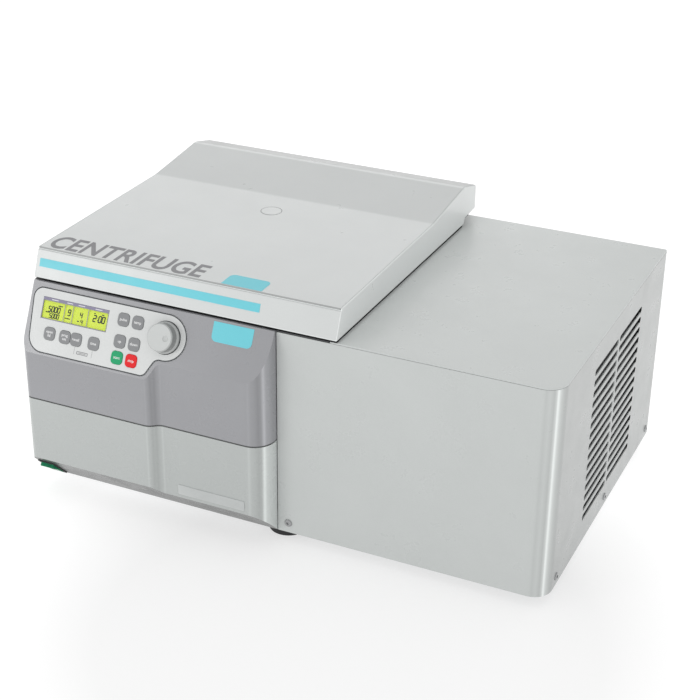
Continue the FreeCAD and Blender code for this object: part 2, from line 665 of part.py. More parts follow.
def hinge_arm(x):
    """Arm under the lid that turns on the hinge pin."""
    arm = rod(Vector(x - 4, HINGE_Y, HINGE_Z), AXIS_X, 7.0, 8)
    arm = arm.fuse(box(x - 4, x + 4, HINGE_Y - 6, HINGE_Y + 5, HINGE_Z, LID_REAR_UNDER))
    bore = rod(Vector(x - 5, HINGE_Y, HINGE_Z), AXIS_X, PIN_RADIUS + RUNNING_FIT, 10)
    return arm.removeSplitter().cut(bore)


def coil_spring(start, inner_radius, wire, turns):
    """Close-wound torsion spring along X: one sleeve with a ridge for each turn."""
    profile = [Vector(0, inner_radius, 0)]
    for turn in range(turns):
        x = turn * wire
        profile += [Vector(x, inner_radius + wire * 0.45, 0), Vector(x + wire * 0.25, inner_radius + wire, 0),
                    Vector(x + wire * 0.75, inner_radius + wire, 0)]
    end = turns * wire
    profile += [Vector(end, inner_radius + wire * 0.45, 0), Vector(end, inner_radius, 0), profile[0]]
    sleeve = Part.Face(Part.makePolygon(profile)).revolve(Vector(0, 0, 0), AXIS_X, 360)
    sleeve.translate(start)
    return sleeve


def build_hinges():
    """Two hinges in the rear cut-outs of the deck, with torsion springs on their pins."""
    places = hinge_places()
    add("hinge_brackets", Part.makeCompound([hinge_bracket(x) for x in places]))
    pins = [rod(Vector(x - 21, HINGE_Y, HINGE_Z), AXIS_X, PIN_RADIUS, 42) for x in places]
    pins.append(rod(Vector(ROTOR_X - 10, LATCH_Y, LATCH_Z), AXIS_X, LATCH_PIN_RADIUS, 20))
    add("pivot_pins", Part.makeCompound(pins))
    add("lid_hinge_arms", Part.makeCompound([hinge_arm(x) for x in places]))
    springs = []
    for x in places:
        for start in (x - 15.5, x + 6.0):
            springs.append(coil_spring(Vector(start, HINGE_Y, HINGE_Z), 4.4, 1.6, 6))
    add("hinge_springs", Part.makeCompound(springs))


def build_latch():
    """Latch under the front of the deck: a hook that holds the lid's catch plate."""
    catch = box(ROTOR_X - 12, ROTOR_X + 12, -172, -168, 283, Z_LID + LINER_GAP)
    add("lid_catch", catch.cut(box(ROTOR_X - 7, ROTOR_X + 7, -173, -167, 287, 299)))
    hook = rod(Vector(ROTOR_X - 5, LATCH_Y, LATCH_Z), AXIS_X, 7, 10)
    hook = hook.fuse(box(ROTOR_X - 5, ROTOR_X + 5, LATCH_Y - 5, LATCH_Y + 3, LATCH_Z, 292))
    hook = hook.fuse(box(ROTOR_X - 5, ROTOR_X + 5, LATCH_Y - 5, -163, 288.2, 292))
    bore = rod(Vector(ROTOR_X - 6, LATCH_Y, LATCH_Z), AXIS_X, LATCH_PIN_RADIUS + RUNNING_FIT, 12)
    hook = hook.removeSplitter().cut(bore)
    hook.rotate(Vector(ROTOR_X, LATCH_Y, LATCH_Z), AXIS_X, LATCH_RELEASE)
    add("latch_hook", hook)
    housing = box(ROTOR_X - 30, ROTOR_X + 30, -200, -158, 222, 252)
    for x0 in (ROTOR_X - 10, ROTOR_X + 7):
        housing = housing.fuse(box(x0, x0 + 3, -186, -172, 252, 269))
    for x0 in (ROTOR_X - 30, ROTOR_X + 28):
        housing = housing.fuse(box(x0, x0 + 2, -200, -158, 252, Z_TOP - SHEET))
    housing = housing.removeSplitter()
    housing = housing.cut(rod(Vector(ROTOR_X - 12, LATCH_Y, LATCH_Z), AXIS_X, LATCH_PIN_RADIUS, 24))
    add("latch_housing", housing)


def front_face_y(z):
    """Y of the lid's leaning front face at a height."""
    lean = (LID_FRONT_HEAD[0] - LID_FRONT_FOOT[0]) / (LID_FRONT_HEAD[1] - LID_FRONT_FOOT[1])
    return LID_FRONT_FOOT[0] + (z - LID_FRONT_FOOT[1]) * lean


def lid_profile():
    """Side view of the closed lid: sloping front, flat top, raised rear wedge, stepped rear underside."""
    return [
        (front_face_y(LID_LIP), LID_LIP, 1.5), LID_FRONT_HEAD + (0.6,),
        (LID_TOP_FRONT[0], LID_FRONT_HEAD[1] + 0.7, 0), LID_TOP_FRONT + (0.6,),
        LID_CREASE + (60.0,), LID_RIDGE + (30.0,), LID_BACK + (6.0,), (253.0, LID_REAR_UNDER + 0.5, 1.0),
        (238.0, LID_REAR_UNDER, 0), (213.0, 312.4, 2.0), (209.0, LID_LIP, 1.0),
    ]


def cover_top(y):
    """Height of the lid's flat top at a distance along it."""
    rise = (LID_CREASE[1] - LID_TOP_FRONT[1]) / (LID_CREASE[0] - LID_TOP_FRONT[0])
    return LID_TOP_FRONT[1] + (y - LID_TOP_FRONT[0]) * rise


def lid_cover_slab(x0, x1, y1, extra):
    """The upper layer of the lid, following its top profile."""
    drop = COVER_THICK + extra
    front = LID_TOP_FRONT[0]
    slope = (LID_BACK[1] - LID_RIDGE[1]) / (LID_BACK[0] - LID_RIDGE[0])
    z1 = LID_RIDGE[1] + (y1 - LID_RIDGE[0]) * slope
    under = [(front - 1, LID_TOP_FRONT[1] - drop, 0), (LID_CREASE[0], LID_CREASE[1] - drop, 0),
             (LID_RIDGE[0], LID_RIDGE[1] - drop, 0), (y1, z1 - drop, 0), (y1, 370, 0), (front - 1, 370, 0)]
    return side_solid(under, x0, x1)


def build_lid():
    outer = side_solid(lid_profile(), X_LEFT, LID_RIGHT)
    ends = [edge for edge in outer.Edges if abs(abs(edge.CenterOfMass.x - (X_LEFT + LID_RIGHT) / 2) -
                                                (LID_RIGHT - X_LEFT) / 2) < 0.01]
    outer = outer.makeFillet(LID_EDGE, ends)
    hollow = [(-209.3, Z_LID - 5, 0), (-196.0, 338.5, 0), LID_CREASE[:1] + (342.5, 0),
              (208.0, 356.5, 0), (250.0, 346.5, 0), (250.0, 317.0, 0), (210.0, 315.6, 0),
              (206.0, Z_LID - 5, 0)]
    left = X_LEFT + LID_WALL
    right = LID_RIGHT - LID_WALL
    frame = outer.cut(side_solid(hollow, left, right))
    cover = lid_cover_slab(X_LEFT + COVER_INSET, LID_RIGHT - COVER_INSET, 244.0, 0).common(outer)
    recess = lid_cover_slab(X_LEFT + COVER_INSET - 0.5, LID_RIGHT - COVER_INSET + 0.5, 244.4, 0)
    frame = frame.cut(recess)
    frame = frame.cut(box(left + 5, right - 5, -189, 236, 330, 370))
    port = Vector(ROTOR_X, ROTOR_Y, Z_LID)
    add("lid_frame", frame)
    add("lid_cover", cover.cut(rod(port, AXIS_Z, PORT_RADIUS + PORT_GAP, 60)))
    liner = box(left + 0.3, right - 0.3, -204.0, 205.5, Z_LID + LINER_GAP, Z_LID + LINER_GAP + 2)
    liner = liner.common(side_solid([(-208.0, 306, 0), (-204.0, 318, 0), (205.5, 318, 0), (205.5, 306, 0)],
                                    left, right))
    add("lid_liner", liner.cut(rod(port, AXIS_Z, PORT_STEM + PORT_GAP, 60)))
    plate_z = Z_LID + LINER_GAP + 2
    plate = rod(Vector(ROTOR_X, ROTOR_Y, plate_z), AXIS_Z, 160, 5)
    add("lid_armour_plate", plate.cut(rod(port, AXIS_Z, PORT_STEM + PORT_GAP, 60)))
    top = cover_top(ROTOR_Y) + 0.4
    plug = rod(Vector(ROTOR_X, ROTOR_Y, top - 4), AXIS_Z, PORT_RADIUS, 4)
    rim = [edge for edge in plug.Edges if edge.Closed and edge.CenterOfMass.z > top - 0.1]
    stem = rod(port + AXIS_Z * LINER_GAP, AXIS_Z, PORT_STEM, top - 4 - Z_LID - LINER_GAP)
    plug = plug.makeFillet(0.6, rim).fuse(stem)
    add("viewport_plug", plug.removeSplitter())
    build_accents()


def build_accents():
    """Plain turquoise stripe and patches, and a blank nameplate."""
    stripe = []
    for z, out in ((319.5, 0.0), (329.5, 0.0), (329.5, 0.35), (319.5, 0.35)):
        stripe.append((front_face_y(z) - out, z, 0))
    band = side_solid(stripe, -351.5, -30.5)
    y0 = -196.6
    y1 = -168.0
    slab = [(y0, cover_top(y0), 0), (y1, cover_top(y1), 0), (y1, cover_top(y1) + 0.3, 0),
            (y0, cover_top(y0) + 0.3, 0)]
    patch = side_solid(slab, -89.0, -33.0)
    patch = patch.common(plan_solid(rectangle(-89.0, -33.0, y0 - 20, y1, 7.0), 330, 350))
    add("lid_accents", Part.makeCompound([band, patch]))
    tab = plan_solid(rectangle(-89.0, -33.0, 66.0, 130.0, 7.0), 0.0, 0.3)
    add("panel_accent", on_incline(tab.common(box(-100, 0, 60, 91.0, -1, 1))))
    plate = rounded_wire(rectangle(-133.5, -36.5, 54.0, 68.0, 2.0), lambda p: Vector(p.x, -244.6, p.y))
    add("nameplate", Part.Face(plate).extrude(Vector(0, 0.6, 0)))


def pipe(points, radius, bend):
    """Round pipe along straight runs joined by tangent arcs."""
    edges = []
    start = points[0]
    for before, here, after in zip(points, points[1:], points[2:]):
        back = (before - here).normalize()
        ahead = (after - here).normalize()
        half = back.getAngle(ahead) / 2
        reach = bend / math.tan(half)
        middle = here + (back + ahead).normalize() * (bend / math.sin(half) - bend)
        edges.append(Part.LineSegment(start, here + back * reach).toShape())
        edges.append(Part.Arc(here + back * reach, middle, here + ahead * reach).toShape())
        start = here + ahead * reach
    edges.append(Part.LineSegment(start, points[-1]).toShape())
    section = Part.Wire(Part.makeCircle(radius, points[0], points[1] - points[0]))
    return Part.Wire(edges).makePipeShell([section], True, True)


def build_refrigeration():
    base = COMPRESSOR.z
    can = revolved([(0, base + 12), (46, base + 12), (58, base + 24), (58, base + 128), (50, base + 142),
                    (30, base + 150), (0, base + 152)], COMPRESSOR.x, COMPRESSOR.y)
    foot = box(COMPRESSOR.x - 55, COMPRESSOR.x + 55, COMPRESSOR.y - 50, COMPRESSOR.y + 50,
               base + 9, base + 12)
    add("compressor", can.fuse(foot).removeSplitter())

    z0 = 46.0
    z1 = 270.0
    core = box(318, 350, FAN_Y - 110, FAN_Y + 110, z0, z1)
    grooves = [box(346, 351, FAN_Y - 104 + step * 8, FAN_Y - 100 + step * 8, z0 + 6, z1 - 6)
               for step in range(26)]
    add("condenser", core.cut(Part.makeCompound(grooves)))

    shroud = box(SHROUD_X, 317, FAN_Y - 108, FAN_Y + 108, z0 + 4, z1 - 4)
    shroud = shroud.cut(rod(Vector(SHROUD_X - 1, FAN_Y, FAN_Z), AXIS_X, FAN_RADIUS + 3, 40))
    duct = tube(Vector(SHROUD_X - 26, FAN_Y, FAN_Z), AXIS_X, FAN_RADIUS + 6, FAN_RADIUS + 3, 28)
    shroud = shroud.fuse(duct)
    for step in range(3):
        arm = box(SHROUD_X - 26, SHROUD_X - 20, FAN_Y - 5, FAN_Y + 5, FAN_Z + 28, FAN_Z + FAN_RADIUS + 4)
        arm.rotate(Vector(0, FAN_Y, FAN_Z), AXIS_X, 120 * step)
        shroud = shroud.fuse(arm)
    motor = rod(Vector(SHROUD_X - 60, FAN_Y, FAN_Z), AXIS_X, 28, 40)
    motor = motor.cut(rod(Vector(SHROUD_X - 50, FAN_Y, FAN_Z), AXIS_X, 4 + RUNNING_FIT, 40))
    add("fan_shroud", Part.makeCompound([shroud.removeSplitter(), motor]))

    wheel = rod(Vector(SHROUD_X - 18, FAN_Y, FAN_Z), AXIS_X, 26, 28)
    wheel = wheel.fuse(rod(Vector(SHROUD_X - 46, FAN_Y, FAN_Z), AXIS_X, 4, 30))
    sweep_disc = rod(Vector(SHROUD_X - 18, FAN_Y, FAN_Z), AXIS_X, FAN_RADIUS, 28)
    for step in range(5):
        blade = box(-19, 19, -1.2, 1.2, 18, FAN_RADIUS + 8)
        blade.rotate(Vector(0, 0, 0), AXIS_Z, 34)
        blade.translate(Vector(SHROUD_X - 4, FAN_Y, FAN_Z))
        blade.rotate(Vector(0, FAN_Y, FAN_Z), AXIS_X, 72 * step)
        wheel = wheel.fuse(blade.common(sweep_disc))
    add("fan_impeller", wheel.removeSplitter())

    top = COMPRESSOR + Vector(12, 8, 153)
    discharge = pipe([top, top + Vector(0, 0, 50), Vector(250, -102, 227), Vector(334, -102, 227)], 4, 14)
    side = COMPRESSOR + Vector(-12, 8, 153)
    suction = pipe([side, side + Vector(0, 0, 35), Vector(60, -90, 212), Vector(30, -50, 212)], 5, 10)
    drier = revolved([(0, 180), (5, 180), (13, 190), (13, 250), (5, 260), (0, 260)], 290.0, -150.0)
    add("refrigerant_lines", Part.makeCompound([discharge, suction, drier]))
    inverter = box(60, 180, 110, 230, Z_CASE + 4, Z_CASE + 70)
    fins = [box(62 + step * 12, 68 + step * 12, 109, 231, Z_CASE + 50, Z_CASE + 71) for step in range(10)]
    add("drive_inverter", inverter.cut(Part.makeCompound(fins)))


def build_all():
    build_front_panels()
    build_controls()
    build_mains_switch()
    build_case()
    build_deck()
    build_rear_panel()
    build_mains_inlet()
    build_base()
    solids = build_screws()
    drill_for_screws(solids)
    add("case_screws", Part.makeCompound(solids))
    build_chamber()
    build_drive()
    build_rotor()
    build_hinges()
    build_latch()
    build_lid()
    build_refrigeration()


build_all()
os.makedirs("parts", exist_ok=True)
for node_name, node_shape in NODES.items():
    node_shape.exportStep(os.path.join("parts", node_name + ".step"))
    print(node_name, len(node_shape.Solids), "solids, valid", node_shape.isValid(),
          "volume", round(node_shape.Volume))
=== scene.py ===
import math

import bmesh
import bpy
from mathutils import Matrix, Vector


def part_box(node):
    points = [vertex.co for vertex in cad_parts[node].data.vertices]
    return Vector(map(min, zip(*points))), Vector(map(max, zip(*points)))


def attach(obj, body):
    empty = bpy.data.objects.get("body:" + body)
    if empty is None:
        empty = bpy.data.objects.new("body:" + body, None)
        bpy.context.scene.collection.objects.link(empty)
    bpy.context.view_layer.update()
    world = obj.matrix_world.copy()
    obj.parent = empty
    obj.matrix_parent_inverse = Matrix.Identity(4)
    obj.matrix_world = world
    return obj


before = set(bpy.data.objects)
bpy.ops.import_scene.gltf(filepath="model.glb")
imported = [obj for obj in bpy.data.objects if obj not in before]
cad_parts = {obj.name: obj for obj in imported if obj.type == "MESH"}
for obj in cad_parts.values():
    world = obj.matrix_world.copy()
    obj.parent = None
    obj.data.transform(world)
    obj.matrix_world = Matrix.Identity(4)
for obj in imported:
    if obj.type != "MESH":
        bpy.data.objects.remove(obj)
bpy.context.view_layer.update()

# Camera: a product view from the front right, looking down on the lid
CAMERA_PLACE = Vector((0.782375, -1.725254, 1.125506))
CAMERA_AZIMUTH = math.radians(24.473)
CAMERA_ELEVATION = math.radians(26.458)
CAMERA_ROLL = math.radians(0.805)
CAMERA_LENS = 80.13
CAMERA_REACH = 50
SENSOR = 36.0

# Plane of the sloping control field: its lower edge line, and how far it leans back
INCLINE = math.radians(25)
CREASE_Y = -0.254
CREASE_Z = 0.217
MM = 0.001

# Range of a face's upward share over which it turns into an underside with painted shade
UNDERSIDE = (-0.45, -0.15)

# Scale of a wave texture times the distance between its rings
WAVE_TURN = 0.3142


def node_box(name):
    low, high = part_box(name)
    return Vector(low), Vector(high)


# ---------------------------------------------------------------- materials

def new_material(name):
    material = bpy.data.materials.new(name)
    material.use_nodes = True
    tree = material.node_tree
    shader = tree.nodes["Principled BSDF"]
    return material, tree, shader


def coordinates(tree, scale=(1, 1, 1)):
    """Object coordinates in metres, stretched along the axes."""
    place = tree.nodes.new("ShaderNodeTexCoord")
    mapping = tree.nodes.new("ShaderNodeMapping")
    mapping.inputs["Scale"].default_value = scale
    tree.links.new(place.outputs["Object"], mapping.inputs["Vector"])
    return mapping.outputs["Vector"]


def noise(tree, vector, scale, detail=3.0, roughness=0.5):
    node = tree.nodes.new("ShaderNodeTexNoise")
    node.inputs["Scale"].default_value = scale
    node.inputs["Detail"].default_value = detail
    node.inputs["Roughness"].default_value = roughness
    tree.links.new(vector, node.inputs["Vector"])
    return node.outputs["Fac"]


def ramp(tree, value, low, high, start=0.3, end=0.7):
    """Map a value from the range start to end onto the range low to high."""
    node = tree.nodes.new("ShaderNodeMapRange")
    node.inputs["From Min"].default_value = start
    node.inputs["From Max"].default_value = end
    node.inputs["To Min"].default_value = low
    node.inputs["To Max"].default_value = high
    tree.links.new(value, node.inputs["Value"])
    return node.outputs["Result"]


def mix_colours(tree, factor, dark, light):
    node = tree.nodes.new("ShaderNodeMix")
    node.data_type = "RGBA"
    tree.links.new(factor, node.inputs[0])
    node.inputs[6].default_value = (*dark, 1)
    node.inputs[7].default_value = (*light, 1)
    return node.outputs[2]


def bump(tree, shader, height, strength, distance):
    node = tree.nodes.new("ShaderNodeBump")
    node.inputs["Strength"].default_value = strength
    node.inputs["Distance"].default_value = distance
    tree.links.new(height, node.inputs["Height"])
    tree.links.new(node.outputs["Normal"], shader.inputs["Normal"])


def shade(colour, factor):
    return tuple(min(1.0, channel * factor) for channel in colour)


def toned(tree, colour, mask, tone):
    """The colour multiplied by a tone, darker below 1 and lighter above, where the mask is 1."""
    node = tree.nodes.new("ShaderNodeMix")
    node.data_type = "RGBA"
    node.blend_type = "MULTIPLY"
    tree.links.new(mask, node.inputs[0])
    tree.links.new(colour, node.inputs[6])
    node.inputs[7].default_value = (tone, tone, tone, 1)
    return node.outputs[2]


def set_inputs(tree, node, values):
    """Fill a node's inputs in order, by a link where the value is a socket, else by the plain value."""
    for socket, value in zip(node.inputs, values):
        if isinstance(value, bpy.types.NodeSocket):
            tree.links.new(value, socket)
        else:
            socket.default_value = value


def number_node(tree, operation, *values):
    """Result of a sum or comparison of numbers or sockets."""
    node = tree.nodes.new("ShaderNodeMath")
    node.operation = operation
    set_inputs(tree, node, values)
    return node.outputs[0]


def vector_node(tree, operation, *values):
    """Result of a sum of vectors or sockets; a number for a dot product or a distance."""
    node = tree.nodes.new("ShaderNodeVectorMath")
    node.operation = operation
    set_inputs(tree, node, values)
    return node.outputs["Value" if operation in ("DOT_PRODUCT", "DISTANCE") else "Vector"]


def part_along(tree, vector, axis):
    node = tree.nodes.new("ShaderNodeSeparateXYZ")
    tree.links.new(vector, node.inputs[0])
    return node.outputs[axis]


def painted_turn_light(tree, colour, normal, stops, axis="X", shift=0.0):
    """The colour made lighter or darker by the way the surface faces, painted highlights and painted shade,
    as on a rounded upright edge.

    Stops are (share of the normal along the axis plus shift, tone), in rising order. The ramp's colours stop
    at 1, so it holds half of each tone."""
    tones = tree.nodes.new("ShaderNodeValToRGB")
    elements = tones.color_ramp.elements
    while len(elements) < len(stops):
        elements.new(0.5)
    for element, (position, tone) in zip(elements, stops):
        element.position = position
        element.color = (tone / 2, tone / 2, tone / 2, 1)
    tree.links.new(number_node(tree, "ADD", part_along(tree, normal, axis), shift), tones.inputs["Fac"])
    scale = tree.nodes.new("ShaderNodeVectorMath")
    scale.operation = "SCALE"
    tree.links.new(colour, scale.inputs[0])
    tree.links.new(number_node(tree, "MULTIPLY", tones.outputs["Color"], 2.0), scale.inputs["Scale"])
    return scale.outputs["Vector"]


def inside_shade_mask(tree, centre):
    """1 on the walls that face a vertical axis through the centre of a hollow case, the inside that gets
    painted shade.
    """
    geometry = tree.nodes.new("ShaderNodeNewGeometry")
    offset = vector_node(tree, "SUBTRACT", geometry.outputs["Position"], centre)
    level = vector_node(tree, "MULTIPLY", offset, (1, 1, 0))
    along = vector_node(tree, "DOT_PRODUCT", level, geometry.outputs["Normal"])
    return ramp(tree, along, 1, 0, -0.02, -0.01)


def coated(name, colour, gloss=0.42, grain=1400, depth=0.05, vary=0.035, metallic=0.0, coat=0.0, under=1.0,
           front=None, turns=None, inside_shade=None, flank=1.0, shine=0.5, lip=1.0, seam=None, slopes=None):
    """Painted or moulded surface: cloudy tone, fine grain, faint scuffs, patches of slightly different gloss.

    Gloss is the mean roughness, grain and depth are the fineness and the height in mm of the surface's grain,
    and vary is how far the tone wanders either way.
    Under is the share of its tone that a downward-facing side keeps, a painted shade on undersides.
    Front is the Y of a front edge with a painted shade.
    Turns are the painted highlights and painted shade of a rounded upright edge, and slopes those of a top
    that falls to the front or back.
    Inside shade is the centre of a case whose inside walls are painted near-black, a painted shade for its
    dark inside.
    Flank is the share of its tone that the sides of a knob keep against its cap, a painted shade on its
    sides.
    Shine is the strength of reflections.
    Lip is the tone of a painted highlight along a rounded lower front edge.
    Seam is the height and tone of the edge along a joint: below 1 a dark joint line, above 1 a painted
    highlight."""
    material, tree, shader = new_material(name)
    vector = coordinates(tree)
    normal = tree.nodes.new("ShaderNodeTexCoord").outputs["Normal"]
    cloud = ramp(tree, noise(tree, vector, 9.0, 4.0, 0.6), 0, 1)
    tone = mix_colours(tree, cloud, shade(colour, 1 - vary), shade(colour, 1 + vary))
    speck = ramp(tree, noise(tree, vector, grain * 0.7, 2.0), 0, 1, 0.35, 0.65)
    blend = tree.nodes.new("ShaderNodeMix")
    blend.data_type = "RGBA"
    blend.blend_type = "SOFT_LIGHT"
    blend.inputs[0].default_value = 0.10
    tree.links.new(tone, blend.inputs[6])
    tree.links.new(mix_colours(tree, speck, (0.35, 0.35, 0.35), (0.65, 0.65, 0.65)), blend.inputs[7])
    wear = tree.nodes.new("ShaderNodeMix")
    wear.data_type = "RGBA"
    scuffs = ramp(tree, noise(tree, vector, 210.0, 6.0, 0.75), 0, 0.5, 0.66, 0.74)
    tree.links.new(scuffs, wear.inputs[0])
    tree.links.new(blend.outputs[2], wear.inputs[6])
    wear.inputs[7].default_value = (*shade(colour, 1.06), 1)
    result = wear.outputs[2]
    shader.inputs["Coat Weight"].default_value = coat
    # Painted shade on downward-facing sides
    if under < 1.0:
        rise = part_along(tree, normal, "Z")
        result = toned(tree, result, ramp(tree, rise, 1, 0, *UNDERSIDE), under)
        tree.links.new(ramp(tree, rise, 0, coat, *UNDERSIDE), shader.inputs["Coat Weight"])
    # Painted shade on the front edge
    if front is not None:
        front_shade_mask = ramp(tree, part_along(tree, vector, "Y"), 1, 0, front, front + 0.3 * MM)
        result = toned(tree, result, front_shade_mask, 0.55)
    # Painted highlight along a rounded lower front edge
    if lip > 1.0:
        low = ramp(tree, part_along(tree, normal, "Z"), 1, 0, 0.1, 0.28)
        ahead = ramp(tree, part_along(tree, normal, "Y"), 1, 0, -0.85, -0.65)
        result = toned(tree, result, number_node(tree, "MULTIPLY", low, ahead), lip)
    # Painted highlights and painted shade on the slopes of a top
    if slopes is not None:
        result = painted_turn_light(tree, result, normal, slopes, "Y", 0.5)
    # Joint edge: a tone below 1 is a dark joint line, a tone above 1 a painted highlight
    if seam is not None:
        level, share = seam
        near = number_node(tree, "COMPARE", part_along(tree, vector, "Z"), level, 0.9 * MM)
        result = toned(tree, result, near, share)
    # Painted highlights and painted shade on rounded upright edges
    if turns is not None:
        result = painted_turn_light(tree, result, normal, turns)
    # Painted shade on the sides of a knob
    if flank < 1.0:
        facing = vector_node(tree, "DOT_PRODUCT", normal, (0, -math.cos(INCLINE), math.sin(INCLINE)))
        result = toned(tree, result, ramp(tree, facing, 1, 0, 0.2, 0.9), flank)
    # Painted shade: the case's inside walls made near-black
    if inside_shade is not None:
        result = toned(tree, result, inside_shade_mask(tree, inside_shade), 0.02)
    tree.links.new(result, shader.inputs["Base Color"])
    polish = ramp(tree, noise(tree, vector, 26.0, 5.0, 0.65), gloss - 0.05, gloss + 0.07)
    tree.links.new(polish, shader.inputs["Roughness"])
    shader.inputs["Metallic"].default_value = metallic
    shader.inputs["Specular IOR Level"].default_value = shine
    shader.inputs["Coat Roughness"].default_value = 0.2
    bump(tree, shader, noise(tree, vector, grain, 2.0), 0.35, depth * MM)
    return material


def brushed(name, colour, rough, stretch, streaks, metallic=1.0):
    """Metal with fine lines along one direction, uneven polish and light smudges."""
    material, tree, shader = new_material(name)
    lines = noise(tree, coordinates(tree, stretch), streaks, 4.0, 0.6)
    plain = coordinates(tree)
    cloud = ramp(tree, noise(tree, plain, 14.0, 4.0), 0, 1)
    clouded = mix_colours(tree, cloud, shade(colour, 0.92), shade(colour, 1.08))
    tree.links.new(clouded, shader.inputs["Base Color"])
    tree.links.new(ramp(tree, lines, rough - 0.08, rough + 0.10), shader.inputs["Roughness"])
    shader.inputs["Metallic"].default_value = metallic
    bump(tree, shader, lines, 0.25, 0.02 * MM)
    return material


def turned(name, colour, rough, centre, pitch=0.9 * MM, metallic=1.0):
    """Metal turned on a lathe: fine rings about an upright axis through a centre."""
    material, tree, shader = new_material(name)
    place = tree.nodes.new("ShaderNodeTexCoord")
    mapping = tree.nodes.new("ShaderNodeMapping")
    mapping.inputs["Location"].default_value = -Vector(centre)
    tree.links.new(place.outputs["Object"], mapping.inputs["Vector"])
    rings = tree.nodes.new("ShaderNodeTexWave")
    rings.wave_type = "RINGS"
    rings.rings_direction = "Z"
    rings.inputs["Scale"].default_value = WAVE_TURN / pitch
    rings.inputs["Distortion"].default_value = 0.4
    rings.inputs["Detail"].default_value = 2.0
    tree.links.new(mapping.outputs["Vector"], rings.inputs["Vector"])
    cloud = ramp(tree, noise(tree, coordinates(tree), 20.0, 4.0), 0, 1)
    tree.links.new(mix_colours(tree, cloud, shade(colour, 0.93), shade(colour, 1.07)),
                   shader.inputs["Base Color"])
    uneven = ramp(tree, rings.outputs["Fac"], rough - 0.05, rough + 0.07, 0, 1)
    tree.links.new(uneven, shader.inputs["Roughness"])
    shader.inputs["Metallic"].default_value = metallic
    bump(tree, shader, rings.outputs["Fac"], 0.15, 0.02 * MM)
    return material


# ---------------------------------------------------------------- flat artwork

def incline_matrix():
    """Control field's plane: x across, y up the slope, z outwards, in metres."""
    sine = math.sin(INCLINE)
    cosine = math.cos(INCLINE)
    return Matrix(((1, 0, 0, 0), (0, sine, -cosine, CREASE_Y), (0, cosine, sine, CREASE_Z), (0, 0, 0, 1)))


FIELD = incline_matrix()


def field_extent(name):
    """Lowest and highest corner of a CAD node in the control field's own plane."""
    inverse = FIELD.inverted()
    points = [inverse @ vertex.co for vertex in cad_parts[name].data.vertices]
    low = Vector([min(p[i] for p in points) for i in range(3)])
    high = Vector([max(p[i] for p in points) for i in range(3)])
    return low, high


def link(name, mesh, material, body):
    """Put a mesh in the scene as a piece that rides with a body."""
    piece = bpy.data.objects.new(name, mesh)
    bpy.context.collection.objects.link(piece)
    piece.data.materials.append(material)
    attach(piece, body)
    return piece


def solid_piece(name, builder, material, body):
    """Turn a finished bmesh into a piece with its faces outwards."""
    bmesh.ops.recalc_face_normals(builder, faces=builder.faces)
    mesh = bpy.data.meshes.new(name)
    builder.to_mesh(mesh)
    builder.free()
    return link(name, mesh, material, body)


def prisms(name, outlines, matrix, base, thickness, material, body):
    """Thin raised artwork: each flat outline becomes a prism in the given plane."""
    builder = bmesh.new()
    for outline in outlines:
        low = [builder.verts.new(matrix @ Vector((x, y, base))) for x, y in outline]
        high = [builder.verts.new(matrix @ Vector((x, y, base + thickness))) for x, y in outline]
        builder.faces.new(list(reversed(low)))
        builder.faces.new(high)
        count = len(outline)
        for i in range(count):
            j = (i + 1) % count
            builder.faces.new((low[i], low[j], high[j], high[i]))
    return solid_piece(name, builder, material, body)


def ring_prism(name, outer, inner, matrix, base, thickness, material, body):
    """Raised closed line between an outer and an inner loop with the same number of points."""
    builder = bmesh.new()
    top = base + thickness
    rows = []
    for loop, height in ((outer, base), (outer, top), (inner, top), (inner, base)):
        rows.append([builder.verts.new(matrix @ Vector((x, y, height))) for x, y in loop])
    count = len(outer)
    for a in range(4):
        b = (a + 1) % 4
        for i in range(count):
            j = (i + 1) % count
            builder.faces.new((rows[a][i], rows[a][j], rows[b][j], rows[b][i]))
    return solid_piece(name, builder, material, body)


def bar(x0, x1, y0, y1):
    return [(x0, y0), (x1, y0), (x1, y1), (x0, y1)]


def rounded_loop(x0, x1, y0, y1, radius, steps=6):
    """Points round a rectangle with rounded corners."""
    points = []
    corners = ((x1 - radius, y0 + radius, -90), (x1 - radius, y1 - radius, 0),
               (x0 + radius, y1 - radius, 90), (x0 + radius, y0 + radius, 180))
    for x, y, start in corners:
        for step in range(steps + 1):
            angle = math.radians(start + 90 * step / steps)
            points.append((x + radius * math.cos(angle), y + radius * math.sin(angle)))
    return points


def lettering(name, text, size, place, matrix, thickness, material, body, bold, spacing=1.0):
    """Plain word or number as thin solid letters, centred on a place in the given plane."""
    curve = bpy.data.curves.new(name, "FONT")
    curve.body = text
    curve.size = size
    curve.align_x = "CENTER"
    curve.align_y = "CENTER"
    curve.space_character = spacing
    curve.offset = bold
    curve.extrude = thickness / 2
    holder = bpy.data.objects.new(name, curve)
    bpy.context.collection.objects.link(holder)
    bpy.context.view_layer.update()
    mesh = bpy.data.meshes.new_from_object(holder.evaluated_get(bpy.context.evaluated_depsgraph_get()))
    bpy.data.objects.remove(holder)
    shift = Matrix.Translation(Vector((place[0], place[1], place[2] + thickness / 2)))
    mesh.transform(matrix @ shift)
    mesh.name = name
    mesh.materials.clear()
    return link(name, mesh, material, body)


# Seven-segment numerals: which bars are lit for each character, and the sizes as shares of the height
SEGMENTS = {"0": "abcdef", "2": "abged", "4": "fgbc", "5": "afgcd", "9": "abcdfg"}
NUMERAL_WIDTH = 0.46
NUMERAL_STROKE = 0.20
NUMERAL_PITCH = 0.67
NUMERAL_LEAN = 0.12
SEGMENT_OVERLAP = 0.30
COLON_PITCH = 0.32
COLON_DOT = 0.07
COLON_LEVELS = (0.3, 0.68)


